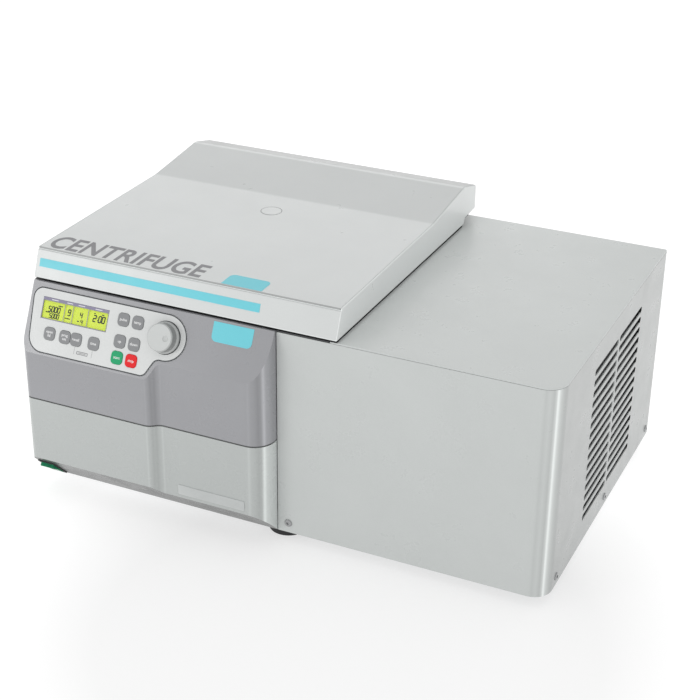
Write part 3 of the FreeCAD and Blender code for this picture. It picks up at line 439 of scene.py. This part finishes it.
def digit_outlines(character, x, y, height):
    """Bars of one slanted seven-segment numeral whose lower left corner is at (x, y)."""
    width = height * NUMERAL_WIDTH
    middle = height / 2
    thick = height * NUMERAL_STROKE
    overlap = thick * SEGMENT_OVERLAP
    half = thick / 2
    ends = {
        "a": ((0, height), (width, height)), "b": ((width, middle), (width, height)),
        "c": ((width, 0), (width, middle)), "d": ((0, 0), (width, 0)),
        "e": ((0, 0), (0, middle)), "f": ((0, middle), (0, height)), "g": ((0, middle), (width, middle)),
    }
    outlines = []
    for letter in SEGMENTS[character]:
        (ax, ay), (bx, by) = ends[letter]
        length = math.hypot(bx - ax, by - ay)
        ux = (bx - ax) / length
        uy = (by - ay) / length
        near = -overlap
        far = length + overlap
        shape = [(near, 0), (near + half, -half), (far - half, -half), (far, 0), (far - half, half),
                 (near + half, half)]
        outline = []
        for along, across in shape:
            px = ax + ux * along - uy * across
            py = ay + uy * along + ux * across
            outline.append((x + px + py * NUMERAL_LEAN, y + py))
        outlines.append(outline)
    return outlines


def number_outlines(text, right, y, height):
    """Numerals set from a right-hand edge leftwards; a colon is two small dots."""
    outlines = []
    x = right
    for character in reversed(text):
        if character == ":":
            x -= height * COLON_PITCH
            dot = height * COLON_DOT
            for level in COLON_LEVELS:
                cx = x + height * NUMERAL_LEAN + height * level * NUMERAL_LEAN
                cy = y + height * level
                outlines.append(bar(cx - dot, cx + dot, cy - dot, cy + dot))
        else:
            x -= height * NUMERAL_PITCH
            outlines += digit_outlines(character, x, y, height)
    return outlines


# ---------------------------------------------------------------- material set

ROTOR_LOW, ROTOR_HIGH = node_box("angle_rotor")
ROTOR_CENTRE = (ROTOR_LOW + ROTOR_HIGH) / 2
CASE_GREY = (0.61, 0.635, 0.625)
LID_GREY = (0.66, 0.68, 0.675)
PANEL_DARK = (0.312, 0.315, 0.331)
PANEL_LIGHT = (0.455, 0.478, 0.469)

# Painted highlights and painted shade of the rounded edges and slopes, by the share of the surface's
# direction along X, or along Y plus a half
CASE_PAINTED_TURN = ((0.0, 1.0), (0.12, 1.0), (0.25, 0.92), (0.43, 1.0), (0.6, 0.88), (0.68, 1.1), (0.745, 1.65),
             (0.82, 1.15), (0.88, 0.96), (1.0, 0.66))
UPPER_PAINTED_TURN = ((0.0, 1.0), (0.1, 1.0), (0.18, 1.08), (0.3, 0.98), (0.45, 0.94), (0.6, 0.82), (0.7, 0.95),
              (0.79, 1.6), (0.86, 1.2), (0.93, 1.15), (1.0, 1.0))
LOWER_PAINTED_TURN = ((0.0, 1.0), (0.1, 1.02), (0.18, 1.14), (0.3, 1.0), (0.45, 0.97), (0.6, 0.89), (0.7, 1.0),
              (0.79, 1.85), (0.86, 1.42), (0.93, 1.36), (1.0, 1.34))
LID_PAINTED_SLOPES = ((0.0, 1.0), (0.33, 1.0), (0.37, 0.905), (0.40, 0.905), (0.46, 1.0), (0.53, 1.0), (0.70, 0.62),
              (0.76, 0.62), (0.85, 1.0))
LID_PAINTED_TURN = ((0.0, 1.0), (0.15, 1.0), (0.45, 1.3), (0.85, 1.3), (0.97, 1.14), (1.0, 1.14))

# Lid cover's gently rising front part: (Y, Z) of its two ends, and the Y of its front edge with a painted
# shade
COVER_FRONT = (-0.1973, 0.3430)
COVER_BACK = (0.0888, 0.3470)
COVER_EDGE = -0.1978
CASE_CENTRE = (0.176, 0.0215, 0.16)

# Back end of the painted shade strip under the lid, and the word on the lid: its middle from the cover's
# front left corner, its size, and the length over which the cover rises under it
SHADE_STRIP_BACK = 0.206
WORD_ACROSS = 0.1203
WORD_UP = 0.0198
WORD_SIZE = 0.051
WORD_NARROWING = 0.745
WORD_RUN = 0.290


def glass_like(name, colour, alpha, rough):
    """Clear sheet with faint smudges."""
    material, tree, shader = new_material(name)
    vector = coordinates(tree)
    smudge = ramp(tree, noise(tree, vector, 40.0, 4.0), rough, rough + 0.06)
    tree.links.new(smudge, shader.inputs["Roughness"])
    cloud = ramp(tree, noise(tree, vector, 30.0, 3.0), 0, 1)
    tree.links.new(mix_colours(tree, cloud, shade(colour, 0.96), colour), shader.inputs["Base Color"])
    shader.inputs["Alpha"].default_value = alpha
    shader.inputs["Specular IOR Level"].default_value = 0.15
    bump(tree, shader, noise(tree, vector, 120.0, 2.0), 0.05, 0.02 * MM)
    return material


def lcd_material():
    """Lit liquid crystal: cloudy yellow-green with a faint grain."""
    material, tree, shader = new_material("lcd_green")
    vector = coordinates(tree)
    cloud = ramp(tree, noise(tree, vector, 22.0, 2.0), 0, 1)
    colour = mix_colours(tree, cloud, (0.55, 0.68, 0.018), (0.64, 0.77, 0.03))
    tree.links.new(colour, shader.inputs["Base Color"])
    tree.links.new(colour, shader.inputs["Emission Color"])
    shader.inputs["Emission Strength"].default_value = 0.10
    shader.inputs["Specular IOR Level"].default_value = 0.2
    tree.links.new(ramp(tree, noise(tree, vector, 60.0), 0.22, 0.32), shader.inputs["Roughness"])
    bump(tree, shader, noise(tree, vector, 2600.0, 1.0), 0.15, 0.02 * MM)
    return material


def rocker_material():
    """Translucent green rocker with a weak lamp behind it."""
    material, tree, shader = new_material("rocker_green")
    vector = coordinates(tree)
    cloud = ramp(tree, noise(tree, vector, 90.0, 3.0), 0, 1)
    colour = mix_colours(tree, cloud, (0.0, 0.13, 0.055), (0.006, 0.25, 0.11))
    tree.links.new(colour, shader.inputs["Base Color"])
    tree.links.new(colour, shader.inputs["Emission Color"])
    shader.inputs["Emission Strength"].default_value = 0.05
    shader.inputs["Specular IOR Level"].default_value = 0.12
    tree.links.new(ramp(tree, noise(tree, vector, 50.0), 0.14, 0.24), shader.inputs["Roughness"])
    shader.inputs["Subsurface Weight"].default_value = 0.1
    shader.inputs["Subsurface Scale"].default_value = 0.002
    bump(tree, shader, noise(tree, vector, 500.0), 0.1, 0.03 * MM)
    return material


def make_materials():
    axis = tuple(ROTOR_CENTRE)
    return {
        "case": coated("case_powder_coat", CASE_GREY, 0.30, 1500, 0.03, 0.02, coat=0.25),
        # Case wrap: the case paint darkened as a painted shade on its front and sides, with painted
        # highlights and shade on its rounded corners and a painted near-black inside
        "wrap": coated("case_wrap_painted_shade_coat", shade(CASE_GREY, 0.90), 0.30, 1500, 0.03, 0.02, coat=0.25,
                       turns=CASE_PAINTED_TURN, inside_shade=CASE_CENTRE),
        # Lid: painted shade on its underside and slopes, painted highlights on its rounded edges and lower
        # front lip
        "lid": coated("lid_powder_coat", LID_GREY, 0.32, 1500, 0.025, 0.018, coat=0.25, under=0.3,
                      turns=LID_PAINTED_TURN, lip=1.35, slopes=LID_PAINTED_SLOPES),
        # Lid cover: painted shade on its front edge and its slopes
        "cover": coated("lid_cover_powder_coat", LID_GREY, 0.32, 1500, 0.025, 0.018, coat=0.25,
                        front=COVER_EDGE, slopes=LID_PAINTED_SLOPES),
        # Deck near-black: its paint, and a painted shade for the gap under the lid
        "deck": coated("deck_paint_and_gap_shade", (0.05, 0.052, 0.055), 0.5, 1500, 0.035, 0.05),
        "inner": coated("inner_primer", (0.40, 0.41, 0.42), 0.5, 1100, 0.06, 0.06),
        # Upper panel: painted highlights and painted shade on its rounded corner, and a dark joint line along
        # its lower edge
        "panel_dark": coated("panel_dark_plastic", PANEL_DARK, 0.28, 2400, 0.02, 0.025, coat=0.3,
                             turns=UPPER_PAINTED_TURN, seam=(node_box("upper_front_panel")[0].z, 0.22)),
        # Lower panel: painted shade on its downward bevel, painted highlights and shade on its rounded
        # corner, and a painted highlight along its top edge
        "panel_light": coated("panel_light_plastic", PANEL_LIGHT, 0.26, 2400, 0.02, 0.02, coat=0.3,
                              under=0.15, turns=LOWER_PAINTED_TURN, seam=(node_box("lower_front_panel")[1].z, 1.16)),
        "membrane": coated("membrane_foil", (0.67, 0.684, 0.679), 0.34, 3000, 0.012, 0.012),
        "key_grey": coated("key_grey_plastic", (0.265, 0.27, 0.278), 0.42, 2600, 0.02, 0.03, shine=0.3),
        "key_green": coated("key_green_plastic", (0.008, 0.37, 0.15), 0.38, 2600, 0.02, 0.04, shine=0.25),
        "key_red": coated("key_red_plastic", (0.80, 0.008, 0.012), 0.38, 2600, 0.02, 0.04, shine=0.25),
        # Knob: painted shade on its sides
        "knob": coated("knob_plastic", (0.57, 0.587, 0.58), 0.38, 2200, 0.03, 0.02, flank=0.45),
        "ink_white": coated("ink_white", (0.86, 0.86, 0.86), 0.5, 3000, 0.01, 0.02),
        "ink_grey": coated("ink_grey", (0.25, 0.25, 0.26), 0.5, 3000, 0.01, 0.05),
        "ink_dark": coated("ink_dark", (0.035, 0.04, 0.045), 0.5, 3000, 0.01, 0.1),
        "ink_violet": coated("ink_violet", (0.27, 0.25, 0.36), 0.5, 3000, 0.01, 0.05),
        "ink_letter": coated("ink_letter", (0.25, 0.25, 0.26), 0.5, 3000, 0.01, 0.05),
        "lcd": lcd_material(),
        "lcd_ink": coated("lcd_segments", (0.012, 0.02, 0.002), 0.5, 3000, 0.01, 0.1, shine=0.1),
        "window": glass_like("display_window_clear", (0.95, 0.97, 0.95), 0.03, 0.05),
        "turquoise": coated("turquoise_film", (0.155, 0.62, 0.71), 0.34, 2600, 0.012, 0.02),
        "plate": brushed("nameplate_satin", (0.55, 0.57, 0.565), 0.36, (0.02, 1, 1), 900, 0.4),
        "black": coated("black_plastic", (0.018, 0.018, 0.019), 0.42, 1800, 0.04, 0.15),
        "rubber": coated("black_rubber", (0.016, 0.016, 0.017), 0.68, 900, 0.10, 0.2),
        "rocker": rocker_material(),
        "stainless": turned("bowl_stainless", (0.62, 0.62, 0.61), 0.26, axis),
        "liner": brushed("liner_stainless", (0.60, 0.60, 0.595), 0.30, (0.015, 1, 1), 800),
        "screw": coated("case_screw_steel", (0.36, 0.365, 0.37), 0.22, 700, 0.05, 0.08, metallic=1.0),
        "steel": coated("zinc_steel", (0.56, 0.56, 0.57), 0.26, 700, 0.05, 0.08, metallic=1.0),
        "rotor": turned("rotor_anodised", (0.20, 0.21, 0.23), 0.32, axis, metallic=0.9),
        "alloy": turned("alloy_turned", (0.66, 0.66, 0.67), 0.25, axis, pitch=0.6 * MM),
        "copper": coated("copper_pipe", (0.62, 0.29, 0.17), 0.28, 500, 0.06, 0.15, metallic=1.0),
        "foam": coated("black_foam", (0.03, 0.03, 0.032), 0.85, 420, 0.4, 0.25),
        "board": coated("board_green", (0.01, 0.13, 0.045), 0.35, 900, 0.05, 0.15),
        "iron": coated("motor_enamel", (0.045, 0.05, 0.055), 0.4, 600, 0.10, 0.15),
        # Condenser near-black, a painted shade for the dark inside seen through the vents
        "fins": brushed("fins_black_painted_shade", (0.02, 0.02, 0.021), 0.45, (1, 1, 0.03), 900, 0.2),
    }


NODE_MATERIALS = {
    "case": ("cooling_case_top", "left_side_panel", "rear_panel"),
    "wrap": ("cooling_case",),
    "lid": ("lid_frame", "viewport_plug"),
    "cover": ("lid_cover",),
    "deck": ("top_deck",),
    "inner": ("base_pan", "lid_armour_plate", "guard_ring"),
    "panel_dark": ("upper_front_panel",),
    "panel_light": ("lower_front_panel",),
    "membrane": ("control_membrane",),
    "key_grey": ("key_open", "key_program", "key_recall", "key_brake", "key_pulse", "key_timer", "key_cool",
                 "key_select"),
    "key_green": ("key_start",),
    "key_red": ("key_stop",),
    "knob": ("control_knob",),
    "lcd": ("lcd_module",),
    "window": ("display_window",),
    "turquoise": ("lid_accents", "panel_accent"),
    "plate": ("nameplate",),
    "black": ("switch_frame", "mains_inlet", "latch_housing", "fan_shroud", "fan_impeller"),
    "rubber": ("feet", "bowl_seal", "rubber_mounts"),
    "rocker": ("power_rocker",),
    "stainless": ("rotor_bowl",),
    "liner": ("lid_liner",),
    "screw": ("case_screws",),
    "steel": ("hinge_brackets", "pivot_pins", "lid_hinge_arms", "hinge_springs", "lid_catch",
              "latch_hook", "drive_shaft"),
    "rotor": ("angle_rotor", "rotor_lid"),
    "alloy": ("rotor_nut",),
    "copper": ("evaporator_coil", "refrigerant_lines"),
    "foam": ("bowl_insulation",),
    "board": ("control_board",),
    "iron": ("drive_motor", "compressor", "drive_inverter"),
    "fins": ("condenser",),
}


def paint_nodes(materials):
    for key, names in NODE_MATERIALS.items():
        for name in names:
            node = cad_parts[name]
            for index in range(len(node.material_slots)):
                node.material_slots[index].material = materials[key]


# ---------------------------------------------------------------- control field

# Points closer than this are one point, and faces within this of a level lie on it
WELD = 1e-6
LEVEL_SLACK = 2e-5


def boundary_loop(name, level):
    """Longest outline of a CAD node's flat top, in order, in the control field's plane."""
    inverse = FIELD.inverted()
    source = bmesh.new()
    source.from_mesh(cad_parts[name].data)
    bmesh.ops.remove_doubles(source, verts=source.verts, dist=WELD)
    flat = set()
    for face in source.faces:
        if all(abs((inverse @ vertex.co).z - level) < LEVEL_SLACK for vertex in face.verts):
            flat.add(face)
    rim = [edge for edge in source.edges if sum(face in flat for face in edge.link_faces) == 1]
    neighbours = {}
    for edge in rim:
        a, b = edge.verts
        neighbours.setdefault(a, []).append(b)
        neighbours.setdefault(b, []).append(a)
    loops = []
    seen = set()
    for start in neighbours:
        if start in seen:
            continue
        loop = [start]
        seen.add(start)
        here = start
        while True:
            onward = [v for v in neighbours[here] if v not in seen]
            if not onward:
                break
            here = onward[0]
            seen.add(here)
            loop.append(here)
        loops.append([tuple((inverse @ vertex.co).xy) for vertex in loop])
    source.free()

    def span(loop):
        xs = [point[0] for point in loop]
        return max(xs) - min(xs)

    return max(loops, key=span)


def inset_loop(loop, distance):
    """The same loop moved inwards (to the left of a counter-clockwise loop)."""
    area = sum(a[0] * b[1] - b[0] * a[1] for a, b in zip(loop, loop[1:] + loop[:1]))
    if area < 0:
        loop = loop[::-1]
    moved = []
    count = len(loop)
    for index, point in enumerate(loop):
        before = Vector(loop[index - 1])
        after = Vector(loop[(index + 1) % count])
        run = (after - before).normalized()
        normal = Vector((-run.y, run.x))
        moved.append((point[0] + normal.x * distance, point[1] + normal.y * distance))
    return loop, moved


def build_membrane_border(materials):
    """Dark line printed just inside the membrane's edge."""
    margin = 0.05 * MM
    line = 1.35 * MM
    top = field_extent("control_membrane")[1].z
    outer = boundary_loop("control_membrane", top)
    outer, near = inset_loop(outer, margin)
    outer, far = inset_loop(outer, line)
    ring_prism("membrane_border", near, far, FIELD, top, 0.05 * MM, materials["ink_dark"], "chassis")


LEGENDS = {
    "key_open": ("open", "lid"), "key_program": ("prog", "set"), "key_recall": ("recall",),
    "key_brake": ("time",), "key_pulse": ("pulse",), "key_timer": ("temp",), "key_cool": ("up",),
    "key_select": ("down",), "key_start": ("start",), "key_stop": ("stop",),
}


def build_key_legends(materials):
    """One or two short words printed on each key, riding with it."""
    size = 5.0 * MM
    pitch = 4.8 * MM
    for key, lines in LEGENDS.items():
        low, high = field_extent(key)
        centre = (low + high) / 2
        for row, word in enumerate(lines):
            y = centre.y + (len(lines) - 1) * pitch / 2 - row * pitch
            name = key + "_legend" + (str(row + 1) if len(lines) > 1 else "")
            lettering(name, word, size, (centre.x, y, high.z), FIELD, 0.05 * MM, materials["ink_white"], key,
                      bold=0.06 * MM)


# Display, in millimetres from the window's lower left corner
DISPLAY_SPLITS = (0.343, 0.47, 0.70)  # places of the upright bars, as shares of the width
NUMERALS = (  # text, right edge, foot, height
    ("5000", 27.3, 10.2, 6.9), ("5000", 26.8, 2.6, 5.7), ("9", 43.4, 10.2, 7.6), ("4", 61.2, 10.6, 6.8),
    ("4", 62.9, 2.8, 5.6), ("2:00", 95.1, 10.0, 7.9),
)
DISPLAY_MARKS = (  # left edge, foot, width
    (22.5, 18.8, 7.0), (5.0, 8.4, 6.5), (35.0, 5.4, 8.0), (53.8, 5.0, 3.0), (77.0, 19.6, 2.2),
    (88.5, 19.6, 3.6),
)
MARK_HEIGHT = 1.3
INK = 0.04 * MM


def build_display_frame(materials):
    """Printed frame round the display, its upright bars and the heading band with a dash over each field."""
    low, high = field_extent("display_window")
    top = high.z
    line = 0.9 * MM
    band = 4.2 * MM
    joint = 0.01 * MM
    foot = low.y + line + joint
    head = high.y - band - joint
    splits = [low.x + (high.x - low.x) * part for part in DISPLAY_SPLITS]
    bars = [
        bar(low.x, high.x, high.y - band, high.y), bar(low.x, high.x, low.y, low.y + line),
        bar(low.x, low.x + line, foot, head), bar(high.x - line, high.x, foot, head),
    ]
    bars += [bar(x - line / 2, x + line / 2, foot, head) for x in splits]
    prisms("display_frame", bars, FIELD, top, INK, materials["ink_violet"], "chassis")

    fields = [low.x + line] + splits + [high.x - line]
    longest = 5.0 * MM
    share = 0.34
    half = 0.45 * MM
    y = high.y - band / 2
    dashes = []
    for left, right in zip(fields, fields[1:]):
        middle = (left + right) / 2
        reach = min(longest, (right - left) * share)
        dashes.append(bar(middle - reach, middle + reach, y - half, y + half))
    prisms("display_headings", dashes, FIELD, top + INK, 0.03 * MM, materials["ink_white"], "chassis")


def build_numerals(materials):
    """Dark numerals and small marks just above the lit liquid crystal."""
    low = field_extent("display_window")[0]
    gap = 0.03 * MM
    base = field_extent("lcd_module")[1].z + gap
    outlines = []
    for text, right, foot, height in NUMERALS:
        outlines += number_outlines(text, low.x + right * MM, low.y + foot * MM, height * MM)
    for left, foot, width in DISPLAY_MARKS:
        outlines.append(bar(low.x + left * MM, low.x + (left + width) * MM, low.y + foot * MM,
                            low.y + (foot + MARK_HEIGHT) * MM))
    prisms("display_numerals", outlines, FIELD, base, INK, materials["lcd_ink"], "chassis")


def circle_loop(x, y, radius, steps=64):
    turns = [2 * math.pi * step / steps for step in range(steps)]
    return [(x + radius * math.cos(turn), y + radius * math.sin(turn)) for turn in turns]


def build_knob_shadow_ring(materials):
    """Dark ring under the knob's foot, a painted shadow in the gap round it."""
    low, high = field_extent("control_knob")
    centre = (low + high) / 2
    outer = circle_loop(centre.x, centre.y, (high.x - low.x) / 2 + 0.9 * MM)
    inner = circle_loop(centre.x, centre.y, 8 * MM)
    top = field_extent("control_membrane")[1].z
    ring_prism("knob_shadow_ring", outer, inner, FIELD, top, 0.3 * MM, materials["ink_dark"], "chassis")


def build_lock_tag(materials):
    """Small outlined tag under the third and fourth key, with two fine lead lines."""
    recall_low, recall_high = field_extent("key_recall")
    brake_low, brake_high = field_extent("key_brake")
    top = field_extent("control_membrane")[1].z
    ink = materials["ink_grey"]
    x0 = recall_high.x - 4.5 * MM
    x1 = brake_low.x + 2.5 * MM
    y0 = 11.6 * MM
    y1 = 15.8 * MM
    line = 0.9 * MM
    outer = rounded_loop(x0, x1, y0, y1, line)
    inner = rounded_loop(x0 + line, x1 - line, y0 + line, y1 - line, 0.4 * MM)
    ring_prism("tag_outline", outer, inner, FIELD, top, INK, ink, "chassis")
    middle = (y0 + y1) / 2
    dash_margin = 3 * MM
    dash_half = 0.4 * MM
    lines = [bar(x0 + dash_margin, x1 - dash_margin, middle - dash_half, middle + dash_half)]
    lead_half = 0.2 * MM
    for x in ((recall_low.x + recall_high.x) / 2, (brake_low.x + brake_high.x) / 2):
        lines.append(bar(x - lead_half, x + lead_half, y0 - 0.5 * MM, recall_low.y - 1.2 * MM))
    prisms("tag_lines", lines, FIELD, top, INK, ink, "chassis")


# ---------------------------------------------------------------- lid artwork

def build_viewport_ring(materials):
    """Grey sealing ring on the rising cover, round the viewport."""
    low, high = node_box("viewport_plug")
    centre = (low + high) / 2
    radius = (high.x - low.x) / 2
    pitch = (COVER_BACK[1] - COVER_FRONT[1]) / (COVER_BACK[0] - COVER_FRONT[0])
    height = COVER_FRONT[1] + (centre.y - COVER_FRONT[0]) * pitch
    plane = Matrix.Translation((centre.x, centre.y, height)) @ Matrix.Rotation(math.atan(pitch), 4, "X")
    outer = circle_loop(0, 0, radius + 0.75 * MM)
    inner = circle_loop(0, 0, radius + 0.05 * MM)
    ring_prism("viewport_ring", outer, inner, plane, 0.02 * MM, 0.06 * MM, materials["ink_grey"], "lid")


def build_lid_gap_shade(materials):
    """Black strip on the case under the right edge of the lid, a painted shade for the gap there."""
    low, high = node_box("cooling_case_top")
    left = low.x + 0.2 * MM
    right = node_box("lid_frame")[1].x - 0.8 * MM
    strip = bar(left, right, low.y + 1 * MM, SHADE_STRIP_BACK)
    prisms("lid_gap_shade_strip", [strip], Matrix.Identity(4), high.z, 0.4 * MM, materials["foam"], "chassis")


def build_lid_lettering(materials):
    """Generic word on the lid's front edge, laid on its gently rising top."""
    low = node_box("lid_cover")[0]
    rise = math.atan((COVER_BACK[1] - COVER_FRONT[1]) / WORD_RUN)
    y = low.y + WORD_UP
    z = COVER_FRONT[1] + (y - low.y) * math.tan(rise)
    plane = Matrix.Translation(Vector((low.x + WORD_ACROSS, y, z))) @ Matrix.Rotation(rise, 4, "X")
    plane = plane @ Matrix.Scale(WORD_NARROWING, 4, (1, 0, 0))
    lettering("lid_word", "CENTRIFUGE", WORD_SIZE, (0, 0, 0.05 * MM), plane, 0.10 * MM,
              materials["ink_letter"], "lid", bold=1.1 * MM, spacing=1.03)


# ---------------------------------------------------------------- studio

FLOOR_REACH = 30
SHADOW_POOL_CENTRE = (0.16, -0.35, 0)
WORLD_STRENGTH = 0.83
LIGHTS = (  # name, place, target, size, power
    ("rear_softbox", (-1.0, 1.9, 1.1), (-0.1, 0, 0.33), (1.8, 0.7), 1.2),
    ("rear_strip", (-1.15, 1.95, 0.82), (-0.14, 0, 0.34), (1.6, 0.34), 1.2),
    ("left_softbox", (-1.75, -2.15, 0.80), (-0.2, -0.1, 0.3), (0.7, 0.6), 7),
    ("right_softbox", (2.0, 0.1, 0.9), (0.1, 0, 0.3), (1.2, 0.9), 1.0),
)


def floor_material():
    """Pale glowing floor with a painted shadow pool: a little less bright round the object than farther out.
    """
    material, tree, shader = new_material("studio_floor")
    grain = noise(tree, coordinates(tree), 900, 2.0)
    colour = mix_colours(tree, grain, (0.38, 0.38, 0.38), (0.40, 0.40, 0.40))
    tree.links.new(colour, shader.inputs["Base Color"])
    shader.inputs["Emission Color"].default_value = (1, 1, 1, 1)
    # Painted shadow: the floor glows less round the object
    away = vector_node(tree, "DISTANCE", coordinates(tree), SHADOW_POOL_CENTRE)
    tree.links.new(ramp(tree, away, 0.60, 0.76, 0.30, 0.46), shader.inputs["Emission Strength"])
    shader.inputs["Roughness"].default_value = 0.85
    return material


def stage(name, data):
    """Put studio furniture in the scene that isn't part of the object."""
    item = bpy.data.objects.new(name, data)
    bpy.context.scene.collection.objects.link(item)
    return item


def build_floor():
    mesh = bpy.data.meshes.new("studio_floor")
    corners = [(x * FLOOR_REACH, y * FLOOR_REACH, 0) for x, y in ((-1, -1), (1, -1), (1, 1), (-1, 1))]
    mesh.from_pydata(corners, [], [(0, 1, 2, 3)])
    mesh.materials.append(floor_material())
    stage("studio_floor", mesh)


def build_lights():
    for name, place, target, size, power in LIGHTS:
        data = bpy.data.lights.new(name, "AREA")
        data.shape = "RECTANGLE"
        data.size, data.size_y = size
        data.energy = power
        light = stage(name, data)
        light.location = place
        light.rotation_euler = (Vector(target) - Vector(place)).to_track_quat("-Z", "Y").to_euler()
    world = bpy.data.worlds.new("studio_world")
    world.use_nodes = True
    backdrop = world.node_tree.nodes["Background"]
    backdrop.inputs["Color"].default_value = (1, 1, 1, 1)
    backdrop.inputs["Strength"].default_value = WORLD_STRENGTH
    bpy.context.scene.world = world


def build_camera():
    back = Vector((math.sin(CAMERA_AZIMUTH) * math.cos(CAMERA_ELEVATION),
                   -math.cos(CAMERA_AZIMUTH) * math.cos(CAMERA_ELEVATION),
                   math.sin(CAMERA_ELEVATION)))
    right = (-back).cross(Vector((0, 0, 1))).normalized()
    up = right.cross(-back)
    tilted_right = right * math.cos(CAMERA_ROLL) + up * math.sin(CAMERA_ROLL)
    tilted_up = up * math.cos(CAMERA_ROLL) - right * math.sin(CAMERA_ROLL)
    data = bpy.data.cameras.new("product_camera")
    data.lens = CAMERA_LENS
    data.sensor_width = SENSOR
    data.clip_end = CAMERA_REACH
    camera = stage("product_camera", data)
    turn = Matrix((tilted_right, tilted_up, back)).transposed().to_4x4()
    camera.matrix_world = Matrix.Translation(CAMERA_PLACE) @ turn
    bpy.context.scene.camera = camera


def build_all():
    materials = make_materials()
    paint_nodes(materials)
    for build in (build_membrane_border, build_key_legends, build_display_frame, build_numerals,
                  build_knob_shadow_ring, build_lock_tag, build_viewport_ring, build_lid_gap_shade,
                  build_lid_lettering):
        build(materials)
    build_floor()
    build_lights()
    build_camera()
    bpy.context.scene.view_settings.view_transform = "Standard"


build_all()
